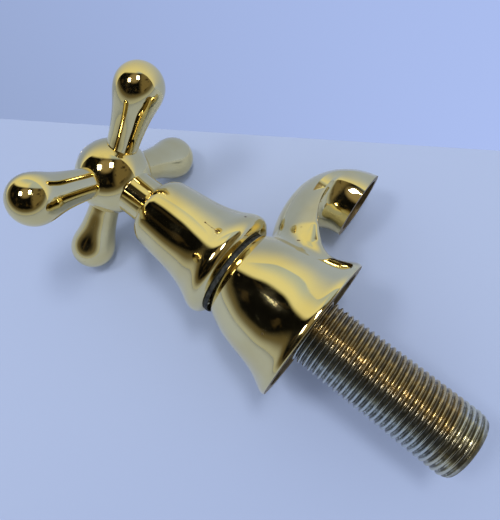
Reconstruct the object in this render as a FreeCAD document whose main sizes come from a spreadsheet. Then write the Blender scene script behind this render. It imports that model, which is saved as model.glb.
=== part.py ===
import FreeCAD, Part
import math
import os
import Sketcher

# Pillar tap with a cross handle, lying or standing free, in millimetres.
# Frame: origin at the middle of the foot's seating face, +Z up the axis towards the handle,
# threaded tail below the origin, spout towards -Y.

SIZES = [
    # casting
    ("foot_radius", 23.7, "foot, radius of the flange"),
    ("foot_height", 1.8, "foot, straight height of the rim"),
    ("foot_round", 0.6, "foot, rounding of the rim's upper edge"),
    ("foot_land", 3.3, "foot, width of the seating land round the recess"),
    ("recess_depth", 1.2, "foot, depth of the recess"),
    ("waist_radius", 19.6, "body, radius where the flare ends"),
    ("waist_height", 12.0, "body, height where the flare ends"),
    ("flare_curve", 17.0, "body, radius of the hollow flare"),
    ("shoulder_radius", 18.4, "body, radius where the shoulder begins"),
    ("shoulder_height", 18.0, "body, height where the shoulder begins"),
    ("shoulder_curve", 15.0, "body, radius of the rounded shoulder"),
    ("collar_land", 1.6, "body, width of its flat top outside the spigot"),
    ("body_height", 28.6, "body, height of its flat top"),
    ("spigot_wall", 3.1, "body, wall of the spigot that holds the bell"),
    ("spigot_height", 5.0, "body, height of the spigot"),
    ("chamber_radius", 9.5, "body, radius of the valve chamber"),
    ("chamber_floor", 11.0, "body, height of the chamber's floor"),
    ("seat_rise", 2.5, "seat, height above the floor"),
    ("seat_inset", 0.5, "seat, how far its edge lies inside the tap washer's"),
    ("seat_wall", 1.15, "seat, width of its ring"),
    # spout
    ("peak_reach", 35.6, "spout, reach of its highest point"),
    ("peak_height", 33.2, "spout, height of its highest point"),
    ("arm_half_width", 12.3, "spout, half width across its flat underside"),
    ("arm_depth", 8.9, "spout, depth at its highest point"),
    ("root_depth", 20.5, "spout, depth of its round root before the arch is cut"),
    ("root_swing", 52.0, "spout, degrees that the root is swung down into the body"),
    ("nose_swing", 86.0, "spout, degrees that the nose is swung down to the nozzle"),
    ("back_curve", 40.5, "spout, radius of its back towards the body"),
    ("nose_curve", 22.4, "spout, radius of its back over the nozzle"),
    ("arch_curve", 19.5, "spout, radius of the arch under the root"),
    ("arch_reach", 37.4, "spout, reach of the arch's centre"),
    ("nozzle_reach", 46.1, "nozzle, reach of its axis"),
    ("nozzle_radius", 11.9, "nozzle, outer radius"),
    ("nozzle_height", 14.0, "nozzle, height of its end face"),
    ("nozzle_sink", 1.9, "nozzle, how far the drum runs up into the spout"),
    ("nozzle_wall", 2.4, "nozzle, wall round its bore"),
    ("outlet_depth", 6.0, "nozzle, bore depth"),
    ("face_margin", 3.6, "nozzle, how far the cut of its face runs past the drum"),
    ("waterway_half_width", 5.5, "spout, half width of the waterway"),
    ("waterway_wall", 2.4, "spout, wall above and below the waterway"),
    ("waterway_root_swing", 50.0, "spout, degrees of the waterway towards the valve"),
    ("waterway_nose_swing", 58.0, "spout, degrees of the waterway towards the nozzle"),
    # tail
    ("tail_radius", 10.4775, "tail, radius over the thread"),
    ("tail_length", 51.4, "tail, length below the seating face"),
    ("tail_point_drop", 0.8275, "tail, how far its end is chamfered inwards"),
    ("tail_point_length", 2.3, "tail, length of the chamfer at its end"),
    ("tail_bore", 7.0, "tail, bore radius"),
    ("tail_step", 1.4775, "tail, step down to the spigot screwed into the body"),
    ("tail_hold", 8.0, "tail, height of the spigot's end"),
    # bell and its seal
    ("seal_height", 1.4, "seal ring, thickness"),
    ("seal_width", 1.15, "seal ring, width of its section"),
    ("seal_shift", 0.9, "seal ring, how far it sits off centre, away from the spout"),
    ("bell_foot_land", 2.8, "bell, its lower edge outside the spigot"),
    ("bead_swell", 2.4, "bell, swell of the bead over the lower edge"),
    ("bead_height", 3.0, "bell, height of the bead's middle above the lower edge"),
    ("bead_curve", 3.2, "bell, radius of the bead below its middle"),
    ("bead_top_drop", 0.6, "bell, drop from the bead to where the flare begins"),
    ("bead_top_height", 5.6, "bell, height of the bead's upper end above the lower edge"),
    ("bead_top_curve", 6.0, "bell, radius of the bead above its middle"),
    ("bell_flare_curve", 26.0, "bell, radius of the hollow flare"),
    ("bell_neck_step", 0.3, "bell, radius where the flare ends, less the spigot's"),
    ("bell_neck_height", 20.0, "bell, height of the flare's end above the lower edge"),
    ("bell_top_radius", 11.7, "bell, radius at the upper corner"),
    ("bell_corner_height", 30.8, "bell, height of the upper corner above the lower edge"),
    ("bell_corner_curve", 2.2, "bell, rounding of the upper corner"),
    ("bell_cone_radius", 10.6, "bell, radius where the top cone begins"),
    ("bell_cone_height", 32.7, "bell, height of the top cone's foot above the lower edge"),
    ("bell_length", 35.0, "bell, height of its top edge above the lower edge"),
    ("bell_wall", 1.5, "bell, wall"),
    ("bell_top_wall", 1.95, "bell, wall at the hole for the handle's neck"),
    # headgear
    ("fibre_height", 1.0, "fibre washer, thickness"),
    ("flange_height", 6.0, "headgear, height of the hexagon"),
    ("barrel_length", 10.4, "headgear, height of the barrel above the hexagon"),
    ("gland_wall", 1.7, "headgear, wall round the gland chamber"),
    ("gland_depth", 6.0, "headgear, depth of the gland chamber"),
    ("packing_width", 2.3, "gland packing, width between spindle and chamber"),
    ("guide_length", 1.0, "headgear, length of the guide below the gland chamber"),
    ("packing_height", 3.4, "gland packing, height"),
    ("gland_washer_height", 1.0, "gland washer, thickness"),
    ("gland_head", 4.7, "gland nut, height of its hexagon"),
    # spindle and valve
    ("washer_space", 1.5, "tap washer, radial space to the valve chamber"),
    ("washer_height", 4.0, "tap washer, thickness"),
    ("plate_space", 1.3, "jumper, radial space between its plate and the chamber"),
    ("plate_height", 2.5, "jumper, thickness of the plate"),
    ("stem_radius", 3.0, "jumper, radius of the stem"),
    ("stem_length", 10.0, "jumper, length of the stem"),
    ("stud_radius", 2.0, "jumper, radius of the lower stud"),
    ("stud_length", 3.1, "jumper, stud below the tap washer"),
    ("washer_nut_flats", 7.0, "washer nut, across flats"),
    ("washer_nut_height", 2.6, "washer nut, height"),
    ("spindle_radius", 4.6, "spindle, radius of the plain part"),
    ("spindle_thread_step", 1.4, "spindle, height of the thread over the plain part"),
    ("spindle_thread_length", 11.95, "spindle, thread above the headgear's lower end"),
    ("collar_space", 2.3, "spindle, radial space between the stop collar and the chamber"),
    ("spindle_collar_height", 1.7, "spindle, height of the stop collar"),
    ("square_drop", 2.6, "spindle, its top below the arms' axes"),
    ("lift", 4.5, "valve, travel from shut to fully open"),
    # handle
    ("hub_radius", 12.4, "hub, radius of the ball"),
    ("neck_radius", 7.28, "hub, radius of the neck"),
    ("neck_rise", 1.5, "hub, height of the neck's lower edge over the gland nut"),
    ("neck_length", 25.1, "hub, from the neck's lower edge to the arms' axes"),
    ("skirt_space", 1.1, "hub, radial space between spindle and neck"),
    ("skirt_depth", 8.5, "hub, depth of the wide bore in the neck"),
    ("arm_turn", 30.5, "handle, azimuth of the first arm in degrees"),
    ("arm_reach", 31.7, "arm, distance of the ball's centre from the axis"),
    ("arm_ball", 7.7, "arm, radius of the ball end"),
    ("arm_root", 4.9, "arm, radius at the hub"),
    ("arm_sink", 1.4, "arm, how deep its shoulder sits in the hub"),
    ("arm_mid_reach", 22.0, "arm, distance where the ball begins to swell"),
    ("arm_mid", 5.8, "arm, radius where the ball begins to swell"),
    ("arm_swell_reach", 28.3, "arm, distance where the hollow turns into the ball"),
    ("arm_swell", 7.15, "arm, radius where the hollow turns into the ball"),
    ("arm_hollow_curve", 24.0, "arm, radius of the hollow before the ball"),
    ("arm_peg_radius", 2.5, "arm, radius of the threaded peg"),
    ("arm_peg_length", 4.6, "arm, length of the threaded peg"),
    ("screw_radius", 2.0, "handle screw, radius"),
    ("screw_length", 10.0, "handle screw, length under the head"),
    ("screw_head_radius", 3.6, "handle screw, radius of the head"),
    ("screw_head_height", 2.6, "handle screw, height of the head"),
    ("screw_slot", 1.0, "handle screw, width of the driver slot"),
    ("spring_washer_height", 0.9, "spring washer, thickness"),
    ("pocket_space", 1.0, "hub, radial space round the screw's head"),
    ("button_radius", 6.4, "button, radius"),
    ("button_edge", 0.15, "button, height of its straight edge"),
    ("button_crown", 1.65, "button, rise of its domed face"),
    ("button_plug", 3.0, "button, length of the plug in the pocket"),
    # clearances
    ("running_gap", 0.05, "radial gap of a running fit and of a thread"),
    ("clear_gap", 0.3, "gap between faces that pass or end short of each other"),
    ("neck_gap", 0.42, "radial gap between the handle's neck and the bell"),
]

ARM_COUNT = 4
BEYOND = 4           # a cutting outline runs this many times past what it cuts
BEVEL_START = 0.49   # hexagon bevels, as shares of the distance across flats
BEVEL_END = 0.62
BEVEL_DROP = 0.12


class Size:
    """A length that carries its number and the sheet expression that gives it."""

    def __init__(self, number, text):
        self.number = number
        self.text = text

    def joined(self, other, sign, number, swapped=False):
        left, right = (other.text, self.text) if swapped else (self.text, other.text)
        return Size(number, "(%s %s %s)" % (left, sign, right))

    def __add__(self, other):
        other = as_size(other)
        return self.joined(other, "+", self.number + other.number)

    def __sub__(self, other):
        other = as_size(other)
        return self.joined(other, "-", self.number - other.number)

    def __rsub__(self, other):
        other = as_size(other)
        return self.joined(other, "-", other.number - self.number, swapped=True)

    def __mul__(self, factor):
        factor = as_size(factor)
        return self.joined(factor, "*", self.number * factor.number)

    def __truediv__(self, factor):
        factor = as_size(factor)
        return self.joined(factor, "/", self.number / factor.number)

    def __neg__(self):
        return Size(-self.number, "(0 - %s)" % self.text)

    __radd__ = __add__
    __rmul__ = __mul__


def as_size(value):
    """Plain numbers become sizes, so that sums of both can be written."""
    return value if isinstance(value, Size) else Size(float(value), repr(float(value)))


def root(size):
    return Size(math.sqrt(size.number), "sqrt(%s)" % size.text)


class Sheet:
    """The spreadsheet of driving dimensions, whose rows read as attributes."""

    def __init__(self, document, rows):
        sheet = document.addObject("Spreadsheet::Sheet", "Sizes")
        for row, (alias, number, note) in enumerate(rows, start=1):
            sheet.set("A%d" % row, note)
            sheet.set("B%d" % row, str(number))
            sheet.setAlias("B%d" % row, alias)
            setattr(self, alias, Size(float(number), "Sizes.%s" % alias))


doc = FreeCAD.newDocument("PillarTap")
s = Sheet(doc, SIZES)
doc.recompute()


# ---------------------------------------------------------------- drawing helpers

def new_body(label):
    body = doc.addObject("PartDesign::Body", label)
    body.Label = label
    return body


def origin_plane(body, role):
    return next(item for item in body.Origin.OriginFeatures if item.Role == role)


def new_sketch(body, name, role, shift=None):
    """A sketch on one of the body's own origin planes, moved by bound offsets along its axes."""
    sketch = body.newObject("Sketcher::SketchObject", name)
    sketch.AttachmentSupport = [(origin_plane(body, role), "")]
    sketch.MapMode = "FlatFace"
    for axis, size in (shift or {}).items():
        setattr(sketch.AttachmentOffset.Base, axis, size.number)
        sketch.setExpression("AttachmentOffset.Base.%s" % axis, size.text)
    return sketch


def bind(sketch, kind, *arguments):
    """Adds a constraint whose last argument is a size, bound to the sheet."""
    size = arguments[-1]
    index = sketch.addConstraint(Sketcher.Constraint(kind, *arguments[:-1], size.number))
    sketch.setExpression("Constraints[%d]" % index, size.text)


def pin_point(sketch, edge, vertex, point):
    """Holds one end of an edge at a point given by two sizes."""
    for kind, axis, size in (("DistanceX", -2, point[0]), ("DistanceY", -1, point[1])):
        size = as_size(size)
        if size.text == "0.0":
            sketch.addConstraint(Sketcher.Constraint("PointOnObject", edge, vertex, axis))
        else:
            bind(sketch, kind, -1, 1, edge, vertex, size)


def arc_between(start, end, radius, side):
    """Arc from start to end, its centre left (side 1) or right (side -1) of the way."""
    middle = (start + end) / 2
    way = end - start
    half = way.Length / 2
    across = FreeCAD.Vector(-way.y, way.x, 0).normalize() * side
    centre = middle + across * math.sqrt(max(radius ** 2 - half ** 2, 0.0))
    first, last = (start, end) if side > 0 else (end, start)
    angles = [math.atan2(point.y - centre.y, point.x - centre.x) for point in (first, last)]
    circle = Part.Circle(centre, FreeCAD.Vector(0, 0, 1), radius)
    return Part.ArcOfCircle(circle, angles[0], angles[1])


def draw_outline(sketch, corners, arcs=None):
    """Closed outline through the corners; arcs maps an edge's number to (radius, side)."""
    arcs = arcs or {}
    points = [FreeCAD.Vector(as_size(x).number, as_size(y).number, 0) for x, y in corners]
    count = len(corners)
    ends = []
    first_edge = sketch.GeometryCount
    for index in range(count):
        start, end = points[index], points[(index + 1) % count]
        if index in arcs:
            radius, side = arcs[index]
            edge = sketch.addGeometry(arc_between(start, end, radius.number, side), False)
            ends.append((edge, 1, 2) if side > 0 else (edge, 2, 1))
        else:
            edge = sketch.addGeometry(Part.LineSegment(start, end), False)
            ends.append((edge, 1, 2))
    for index in range(count):
        edge, unused, last = ends[index]
        follower, first, unused = ends[(index + 1) % count]
        sketch.addConstraint(Sketcher.Constraint("Coincident", edge, last, follower, first))
    for index in range(count):
        edge, first, unused = ends[index]
        pin_point(sketch, edge, first, corners[index])
    for index, (radius, side) in arcs.items():
        bind(sketch, "Radius", first_edge + index, radius)


def draw_circle(sketch, radius, centre=(0, 0)):
    middle = FreeCAD.Vector(as_size(centre[0]).number, as_size(centre[1]).number, 0)
    edge = sketch.addGeometry(Part.Circle(middle, FreeCAD.Vector(0, 0, 1), radius.number), False)
    bind(sketch, "Radius", edge, radius)
    pin_point(sketch, edge, 3, centre)


def draw_polygon(sketch, flats, sides):
    """Regular polygon of an even number of sides, given across its flats."""
    corner = flats / (2 * math.cos(math.pi / sides))
    turns = [2 * math.pi * (step + 0.5) / sides for step in range(sides)]
    draw_outline(sketch, [(corner * math.cos(turn), corner * math.sin(turn)) for turn in turns])


def swing(body, kind, name, sketch, axis, angle=None, backwards=False):
    """Swings a sketch about its own upright (V_Axis) or level (H_Axis) axis, fully or by a size."""
    feature = body.newObject(kind, name)
    feature.Profile = sketch
    feature.ReferenceAxis = (sketch, [axis])
    feature.Angle = 360.0
    if angle is not None:
        feature.Angle = angle.number
        feature.setExpression("Angle", angle.text)
    feature.Reversed = backwards
    return feature


def turn_profile(body, kind, name, corners, arcs=None):
    """Turns an outline of (radius, height) corners about the body's own axis."""
    sketch = new_sketch(body, name + "_outline", "XZ_Plane")
    draw_outline(sketch, corners, arcs)
    return swing(body, kind, name, sketch, "V_Axis")


def pad_up(body, name, sketch, height):
    feature = body.newObject("PartDesign::Pad", name)
    feature.Profile = sketch
    feature.Length = height.number
    feature.setExpression("Length", height.text)
    return feature


def cut_down(body, name, sketch, depth, upwards):
    """Cuts a sketch into the solid, along or against the sketch's normal."""
    feature = body.newObject("PartDesign::Pocket", name)
    feature.Profile = sketch
    feature.Length = depth.number
    feature.setExpression("Length", depth.text)
    feature.Reversed = upwards
    return feature


def aim(body, azimuth):
    """Turns a whole body about the main axis to a bound azimuth in degrees."""
    turn = FreeCAD.Rotation(FreeCAD.Vector(0, 0, 1), azimuth.number)
    body.Placement = FreeCAD.Placement(FreeCAD.Vector(0, 0, 0), turn)
    body.setExpression("Placement.Rotation.Angle", azimuth.text)


def cut_across(body, name, sketch, width):
    """Cuts a sketch through the solid, half of the width to each side."""
    feature = body.newObject("PartDesign::Pocket", name)
    feature.Profile = sketch
    feature.Midplane = True
    feature.Length = width.number
    feature.setExpression("Length", width.text)
    return feature


def bevel_hexagon(body, name, flats, height, upwards):
    """Turns a 30 degree bevel on a hexagon's corners at the height of one end face."""
    drop = flats * (-BEVEL_DROP if upwards else BEVEL_DROP)
    corner = flats * BEVEL_END
    turn_profile(body, "PartDesign::Groove", name,
                 [(flats * BEVEL_START, height), (corner, height), (corner, height + drop)])


# ---------------------------------------------------------------- heights and fits

spigot_radius = s.chamber_radius + s.spigot_wall
collar_radius = spigot_radius + s.collar_land
bell_foot_radius = spigot_radius + s.bell_foot_land
bead_radius = bell_foot_radius + s.bead_swell
bead_top_radius = bead_radius - s.bead_top_drop
bell_neck_radius = spigot_radius + s.bell_neck_step
washer_radius = s.chamber_radius - s.washer_space
plate_radius = s.chamber_radius - s.plate_space
spindle_collar_radius = s.chamber_radius - s.collar_space
seat_radius = washer_radius - s.seat_inset
seat_bore = seat_radius - s.seat_wall
recess_radius = s.foot_radius - s.foot_land
outlet_radius = s.nozzle_radius - s.nozzle_wall
tail_spigot_radius = s.tail_radius - s.tail_step
gland_radius = s.spindle_radius + s.packing_width
barrel_radius = gland_radius + s.gland_wall
spindle_thread_radius = s.spindle_radius + s.spindle_thread_step
flange_flats = (spigot_radius - s.clear_gap) * root(as_size(3))
gland_flats = barrel_radius * root(as_size(3))
square_flats = (s.spindle_radius - s.running_gap) * root(as_size(2))
skirt_bore = s.spindle_radius + s.skirt_space
arm_seat = s.hub_radius - s.arm_sink
pocket_radius = s.screw_head_radius + s.pocket_space

seat_top = s.chamber_floor + s.seat_rise
spigot_top = s.body_height + s.spigot_height
bell_foot = s.body_height + s.seal_height
flange_foot = spigot_top + s.fibre_height
flange_top = flange_foot + s.flange_height
plate_foot = seat_top + s.washer_height
plate_top = plate_foot + s.plate_height
spindle_foot = plate_top + s.running_gap
stem_top = plate_top + s.stem_length
collar_top = spindle_foot + s.spindle_collar_height
headgear_foot = collar_top + s.lift + s.clear_gap
spindle_thread_top = headgear_foot + s.spindle_thread_length
barrel_top = flange_top + s.barrel_length
gland_floor = barrel_top - s.gland_depth
guide_foot = gland_floor - s.guide_length
packing_foot = gland_floor + s.running_gap
packing_top = packing_foot + s.packing_height
gland_nut_foot = packing_top + s.gland_washer_height
gland_head_foot = barrel_top + s.clear_gap
gland_top = gland_head_foot + s.gland_head
neck_foot = gland_top + s.neck_rise
square_foot = neck_foot + s.skirt_depth
handle_height = neck_foot + s.neck_length
square_top = handle_height - s.square_drop
screw_head_foot = handle_height + s.spring_washer_height
button_seat = handle_height + root(s.hub_radius * s.hub_radius - s.button_radius * s.button_radius)
nose_axis_height = s.peak_height - s.nose_curve
back_axis_height = s.peak_height - s.back_curve
arch_axis_height = s.peak_height - s.arm_depth - s.arch_curve


# ---------------------------------------------------------------- casting

def dome_radius(half_width, rise):
    """Radius of the arc that rises so much between two points so far apart."""
    return (half_width * half_width + rise * rise) / (rise * 2)


def back_section(body, name, curve, axis_height, belly=None):
    """Section of the spout at its highest point, drawn so far above its axis as its back curves.

    The back is domed over the full width. The underside is flat, or bellied by so much."""
    sketch = new_sketch(body, name, "XZ_Plane", {"z": s.peak_reach, "y": axis_height})
    half = s.arm_half_width
    edge = curve - s.arm_depth
    arcs = {0: (dome_radius(half, s.arm_depth), 1)}
    if belly is not None:
        arcs[1] = (dome_radius(half, belly), 1)
    draw_outline(sketch, [(half, edge), (-half, edge)], arcs)
    return sketch


def make_casting():
    body = new_body("body_casting")
    # Root of the spout: a round section swung back into the body, then hollowed by the arch below.
    section = back_section(body, "root_section", s.back_curve, back_axis_height,
                           s.root_depth - s.arm_depth)
    swing(body, "PartDesign::Revolution", "spout_root", section, "H_Axis", s.root_swing, True)
    arch = new_sketch(body, "arch_outline", "YZ_Plane")
    draw_circle(arch, s.arch_curve, (-s.arch_reach, arch_axis_height))
    cut_across(body, "spout_arch", arch, s.arm_half_width * BEYOND)
    # Nozzle: an upright drum, trimmed to the back of the nose.
    drum = new_sketch(body, "nozzle_outline", "XY_Plane", {"z": s.nozzle_height})
    draw_circle(drum, s.nozzle_radius, (0, -s.nozzle_reach))
    drum_top = s.peak_height - s.arm_depth + s.nozzle_sink
    pad_up(body, "nozzle", drum, drum_top - s.nozzle_height)
    frame = new_sketch(body, "nose_trim_section", "XZ_Plane",
                       {"z": s.peak_reach, "y": nose_axis_height})
    half = s.arm_half_width
    side = half * BEYOND
    edge = s.nose_curve - s.arm_depth
    draw_outline(frame, [(half, s.clear_gap), (half, edge), (-half, edge), (-half, s.clear_gap),
                         (-side, s.clear_gap), (-side, s.nose_curve * BEYOND),
                         (side, s.nose_curve * BEYOND), (side, s.clear_gap)],
                 {1: (dome_radius(half, s.arm_depth), 1)})
    swing(body, "PartDesign::Groove", "nozzle_trim", frame, "H_Axis", s.nose_swing)
    section = back_section(body, "nose_section", s.nose_curve, nose_axis_height)
    swing(body, "PartDesign::Revolution", "spout_nose", section, "H_Axis", s.nose_swing)
    level = new_sketch(body, "nozzle_face_outline", "XY_Plane", {"z": s.nozzle_height})
    far = s.nozzle_reach + s.nozzle_radius * BEYOND
    near = s.nozzle_reach - s.nozzle_radius - s.face_margin
    draw_outline(level, [(side, -far), (side, -near), (-side, -near), (-side, -far)])
    cut_down(body, "nozzle_face", level, s.nozzle_height, False)
    # Foot, waist and shoulder of the body, turned about the main axis.
    turn_profile(body, "PartDesign::Revolution", "body_turning", [
        (0, 0), (s.foot_radius, 0), (s.foot_radius, s.foot_height),
        (s.foot_radius - s.foot_round, s.foot_height + s.foot_round),
        (s.waist_radius, s.waist_height), (s.shoulder_radius, s.shoulder_height),
        (collar_radius, s.body_height), (spigot_radius, s.body_height),
        (spigot_radius, spigot_top), (0, spigot_top)],
        {2: (s.foot_round, 1), 3: (s.flare_curve, -1), 5: (s.shoulder_curve, 1)})
    # Recess under the foot, tail socket, seat bore and valve chamber with its raised seat.
    socket = tail_spigot_radius + s.running_gap
    turn_profile(body, "PartDesign::Groove", "valve_bores", [
        (0, 0), (recess_radius, 0), (recess_radius, s.recess_depth), (socket, s.recess_depth),
        (socket, s.tail_hold), (seat_bore, s.tail_hold),
        (seat_bore, seat_top), (seat_radius, seat_top), (seat_radius, s.chamber_floor),
        (s.chamber_radius, s.chamber_floor), (s.chamber_radius, spigot_top), (0, spigot_top)])
    # Waterway through the spout and the nozzle's bore.
    for name, curve, centre, angle, backwards in (
            ("waterway_root", s.back_curve, back_axis_height, s.waterway_root_swing, True),
            ("waterway_nose", s.nose_curve, nose_axis_height, s.waterway_nose_swing, False)):
        channel = new_sketch(body, name + "_section", "XZ_Plane", {"z": s.peak_reach, "y": centre})
        low = curve - s.arm_depth + s.waterway_wall
        high = curve - s.waterway_wall
        half = s.waterway_half_width
        draw_outline(channel, [(-half, low), (half, low), (half, high), (-half, high)])
        swing(body, "PartDesign::Groove", name, channel, "H_Axis", angle, backwards)
    outlet = new_sketch(body, "outlet_outline", "XY_Plane", {"z": s.nozzle_height})
    draw_circle(outlet, outlet_radius, (0, -s.nozzle_reach))
    cut_down(body, "outlet", outlet, s.outlet_depth, True)
    return body


def make_tail():
    body = new_body("threaded_tail")
    point_top = s.tail_point_length - s.tail_length
    point_radius = s.tail_radius - s.tail_point_drop
    turn_profile(body, "PartDesign::Revolution", "tail_turning", [
        (s.tail_bore, -s.tail_length), (point_radius, -s.tail_length),
        (s.tail_radius, point_top),
        (s.tail_radius, s.recess_depth), (tail_spigot_radius, s.recess_depth),
        (tail_spigot_radius, s.tail_hold), (s.tail_bore, s.tail_hold)])
    return body


# ---------------------------------------------------------------- bell and seal

def make_seal():
    body = new_body("bell_seal_ring")
    inner = spigot_radius + s.seal_shift + s.clear_gap
    outer = inner + s.seal_width
    turn_profile(body, "PartDesign::Revolution", "seal_turning", [
        (inner, s.body_height), (outer, s.body_height),
        (outer, bell_foot), (inner, bell_foot)])
    body.setExpression("Placement.Base.y", s.seal_shift.text)
    return body


def make_bell():
    body = new_body("bell_cover")
    hole = s.neck_radius + s.neck_gap
    land = spigot_radius + s.running_gap
    wall = s.bell_wall
    bead_end = bell_foot + s.bead_top_height
    neck = bell_foot + s.bell_neck_height
    corner = bell_foot + s.bell_corner_height
    top = bell_foot + s.bell_length
    turn_profile(body, "PartDesign::Revolution", "bell_turning", [
        (land, bell_foot), (bell_foot_radius, bell_foot),
        (bead_radius, bell_foot + s.bead_height), (bead_top_radius, bead_end),
        (bell_neck_radius, neck), (s.bell_top_radius, corner),
        (s.bell_cone_radius, bell_foot + s.bell_cone_height), (hole, top),
        (hole, top - s.bell_top_wall), (s.bell_top_radius - wall, corner - wall),
        (bell_neck_radius - wall, neck), (bead_top_radius - wall, bead_end),
        (land, bead_end)],
        {1: (s.bead_curve, 1), 2: (s.bead_top_curve, 1), 3: (s.bell_flare_curve, -1),
         5: (s.bell_corner_curve, 1), 10: (s.bell_flare_curve + wall, 1)})
    return body


# ---------------------------------------------------------------- headgear

def make_fibre_washer():
    body = new_body("headgear_washer")
    inner = s.chamber_radius + s.clear_gap
    outer = spigot_radius - s.clear_gap
    turn_profile(body, "PartDesign::Revolution", "fibre_turning", [
        (inner, spigot_top), (outer, spigot_top), (outer, flange_foot), (inner, flange_foot)])
    return body


def make_headgear():
    body = new_body("headgear_body")
    hexagon = new_sketch(body, "flange_outline", "XY_Plane", {"z": flange_foot})
    draw_polygon(hexagon, flange_flats, 6)
    pad_up(body, "flange", hexagon, s.flange_height)
    bevel_hexagon(body, "flange_bevel", flange_flats, flange_top, True)
    thread = s.chamber_radius - s.running_gap
    turn_profile(body, "PartDesign::Revolution", "headgear_turning", [
        (0, headgear_foot), (thread, headgear_foot), (thread, flange_foot),
        (barrel_radius, flange_foot), (barrel_radius, barrel_top), (0, barrel_top)])
    screw_bore = spindle_thread_radius + s.running_gap
    guide_bore = s.spindle_radius + s.running_gap
    turn_profile(body, "PartDesign::Groove", "headgear_bores", [
        (0, headgear_foot), (screw_bore, headgear_foot), (screw_bore, guide_foot),
        (guide_bore, guide_foot), (guide_bore, gland_floor), (gland_radius, gland_floor),
        (gland_radius, barrel_top), (0, barrel_top)])
    return body


def make_gland_ring(label, foot, top):
    body = new_body(label)
    inner = s.spindle_radius + s.running_gap
    outer = gland_radius - s.running_gap
    turn_profile(body, "PartDesign::Revolution", label + "_turning", [
        (inner, foot), (outer, foot), (outer, top), (inner, top)])
    return body


def make_gland_nut():
    body = new_body("gland_nut")
    hexagon = new_sketch(body, "gland_outline", "XY_Plane", {"z": gland_head_foot})
    draw_polygon(hexagon, gland_flats, 6)
    pad_up(body, "gland_hexagon", hexagon, s.gland_head)
    bevel_hexagon(body, "gland_bevel", gland_flats, gland_top, True)
    thread = gland_radius - s.running_gap
    turn_profile(body, "PartDesign::Revolution", "gland_turning", [
        (0, gland_nut_foot), (thread, gland_nut_foot), (thread, gland_head_foot),
        (0, gland_head_foot)])
    bore = s.spindle_radius + s.running_gap
    turn_profile(body, "PartDesign::Groove", "gland_bore", [
        (0, gland_nut_foot), (bore, gland_nut_foot), (bore, gland_top), (0, gland_top)])
    return body


# ---------------------------------------------------------------- valve and spindle

def make_tap_washer():
    body = new_body("tap_washer")
    inner = s.stud_radius + s.running_gap
    turn_profile(body, "PartDesign::Revolution", "washer_turning", [
        (inner, seat_top), (washer_radius, seat_top),
        (washer_radius, plate_foot), (inner, plate_foot)])
    return body


def make_jumper():
    body = new_body("jumper")
    stud_foot = seat_top - s.stud_length
    turn_profile(body, "PartDesign::Revolution", "jumper_turning", [
        (0, stud_foot), (s.stud_radius, stud_foot), (s.stud_radius, plate_foot),
        (plate_radius, plate_foot), (plate_radius, plate_top),
        (s.stem_radius, plate_top), (s.stem_radius, stem_top), (0, stem_top)])
    return body


def make_washer_nut():
    body = new_body("washer_nut")
    foot = seat_top - s.washer_nut_height
    hexagon = new_sketch(body, "washer_nut_outline", "XY_Plane", {"z": foot})
    draw_polygon(hexagon, s.washer_nut_flats, 6)
    draw_circle(hexagon, s.stud_radius + s.running_gap)
    pad_up(body, "washer_nut_hexagon", hexagon, s.washer_nut_height)
    bevel_hexagon(body, "washer_nut_bevel", s.washer_nut_flats, foot, False)
    return body


def make_spindle():
    body = new_body("spindle")
    turn_profile(body, "PartDesign::Revolution", "spindle_turning", [
        (0, spindle_foot), (spindle_collar_radius, spindle_foot),
        (spindle_collar_radius, collar_top), (spindle_thread_radius, collar_top),
        (spindle_thread_radius, spindle_thread_top), (s.spindle_radius, spindle_thread_top),
        (s.spindle_radius, square_foot), (0, square_foot)])
    square = new_sketch(body, "square_outline", "XY_Plane", {"z": square_foot})
    draw_polygon(square, square_flats, 4)
    pad_up(body, "square", square, square_top - square_foot)
    stem_hole = s.stem_radius + s.running_gap
    turn_profile(body, "PartDesign::Groove", "stem_bore", [
        (0, spindle_foot), (stem_hole, spindle_foot), (stem_hole, stem_top + s.clear_gap),
        (0, stem_top + s.clear_gap)])
    screw_hole = s.screw_radius + s.running_gap
    hole_foot = screw_head_foot - s.screw_length - s.clear_gap
    turn_profile(body, "PartDesign::Groove", "screw_bore", [
        (0, hole_foot), (screw_hole, hole_foot), (screw_hole, square_top), (0, square_top)])
    aim(body, s.arm_turn)
    return body


# ---------------------------------------------------------------- handle

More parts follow.
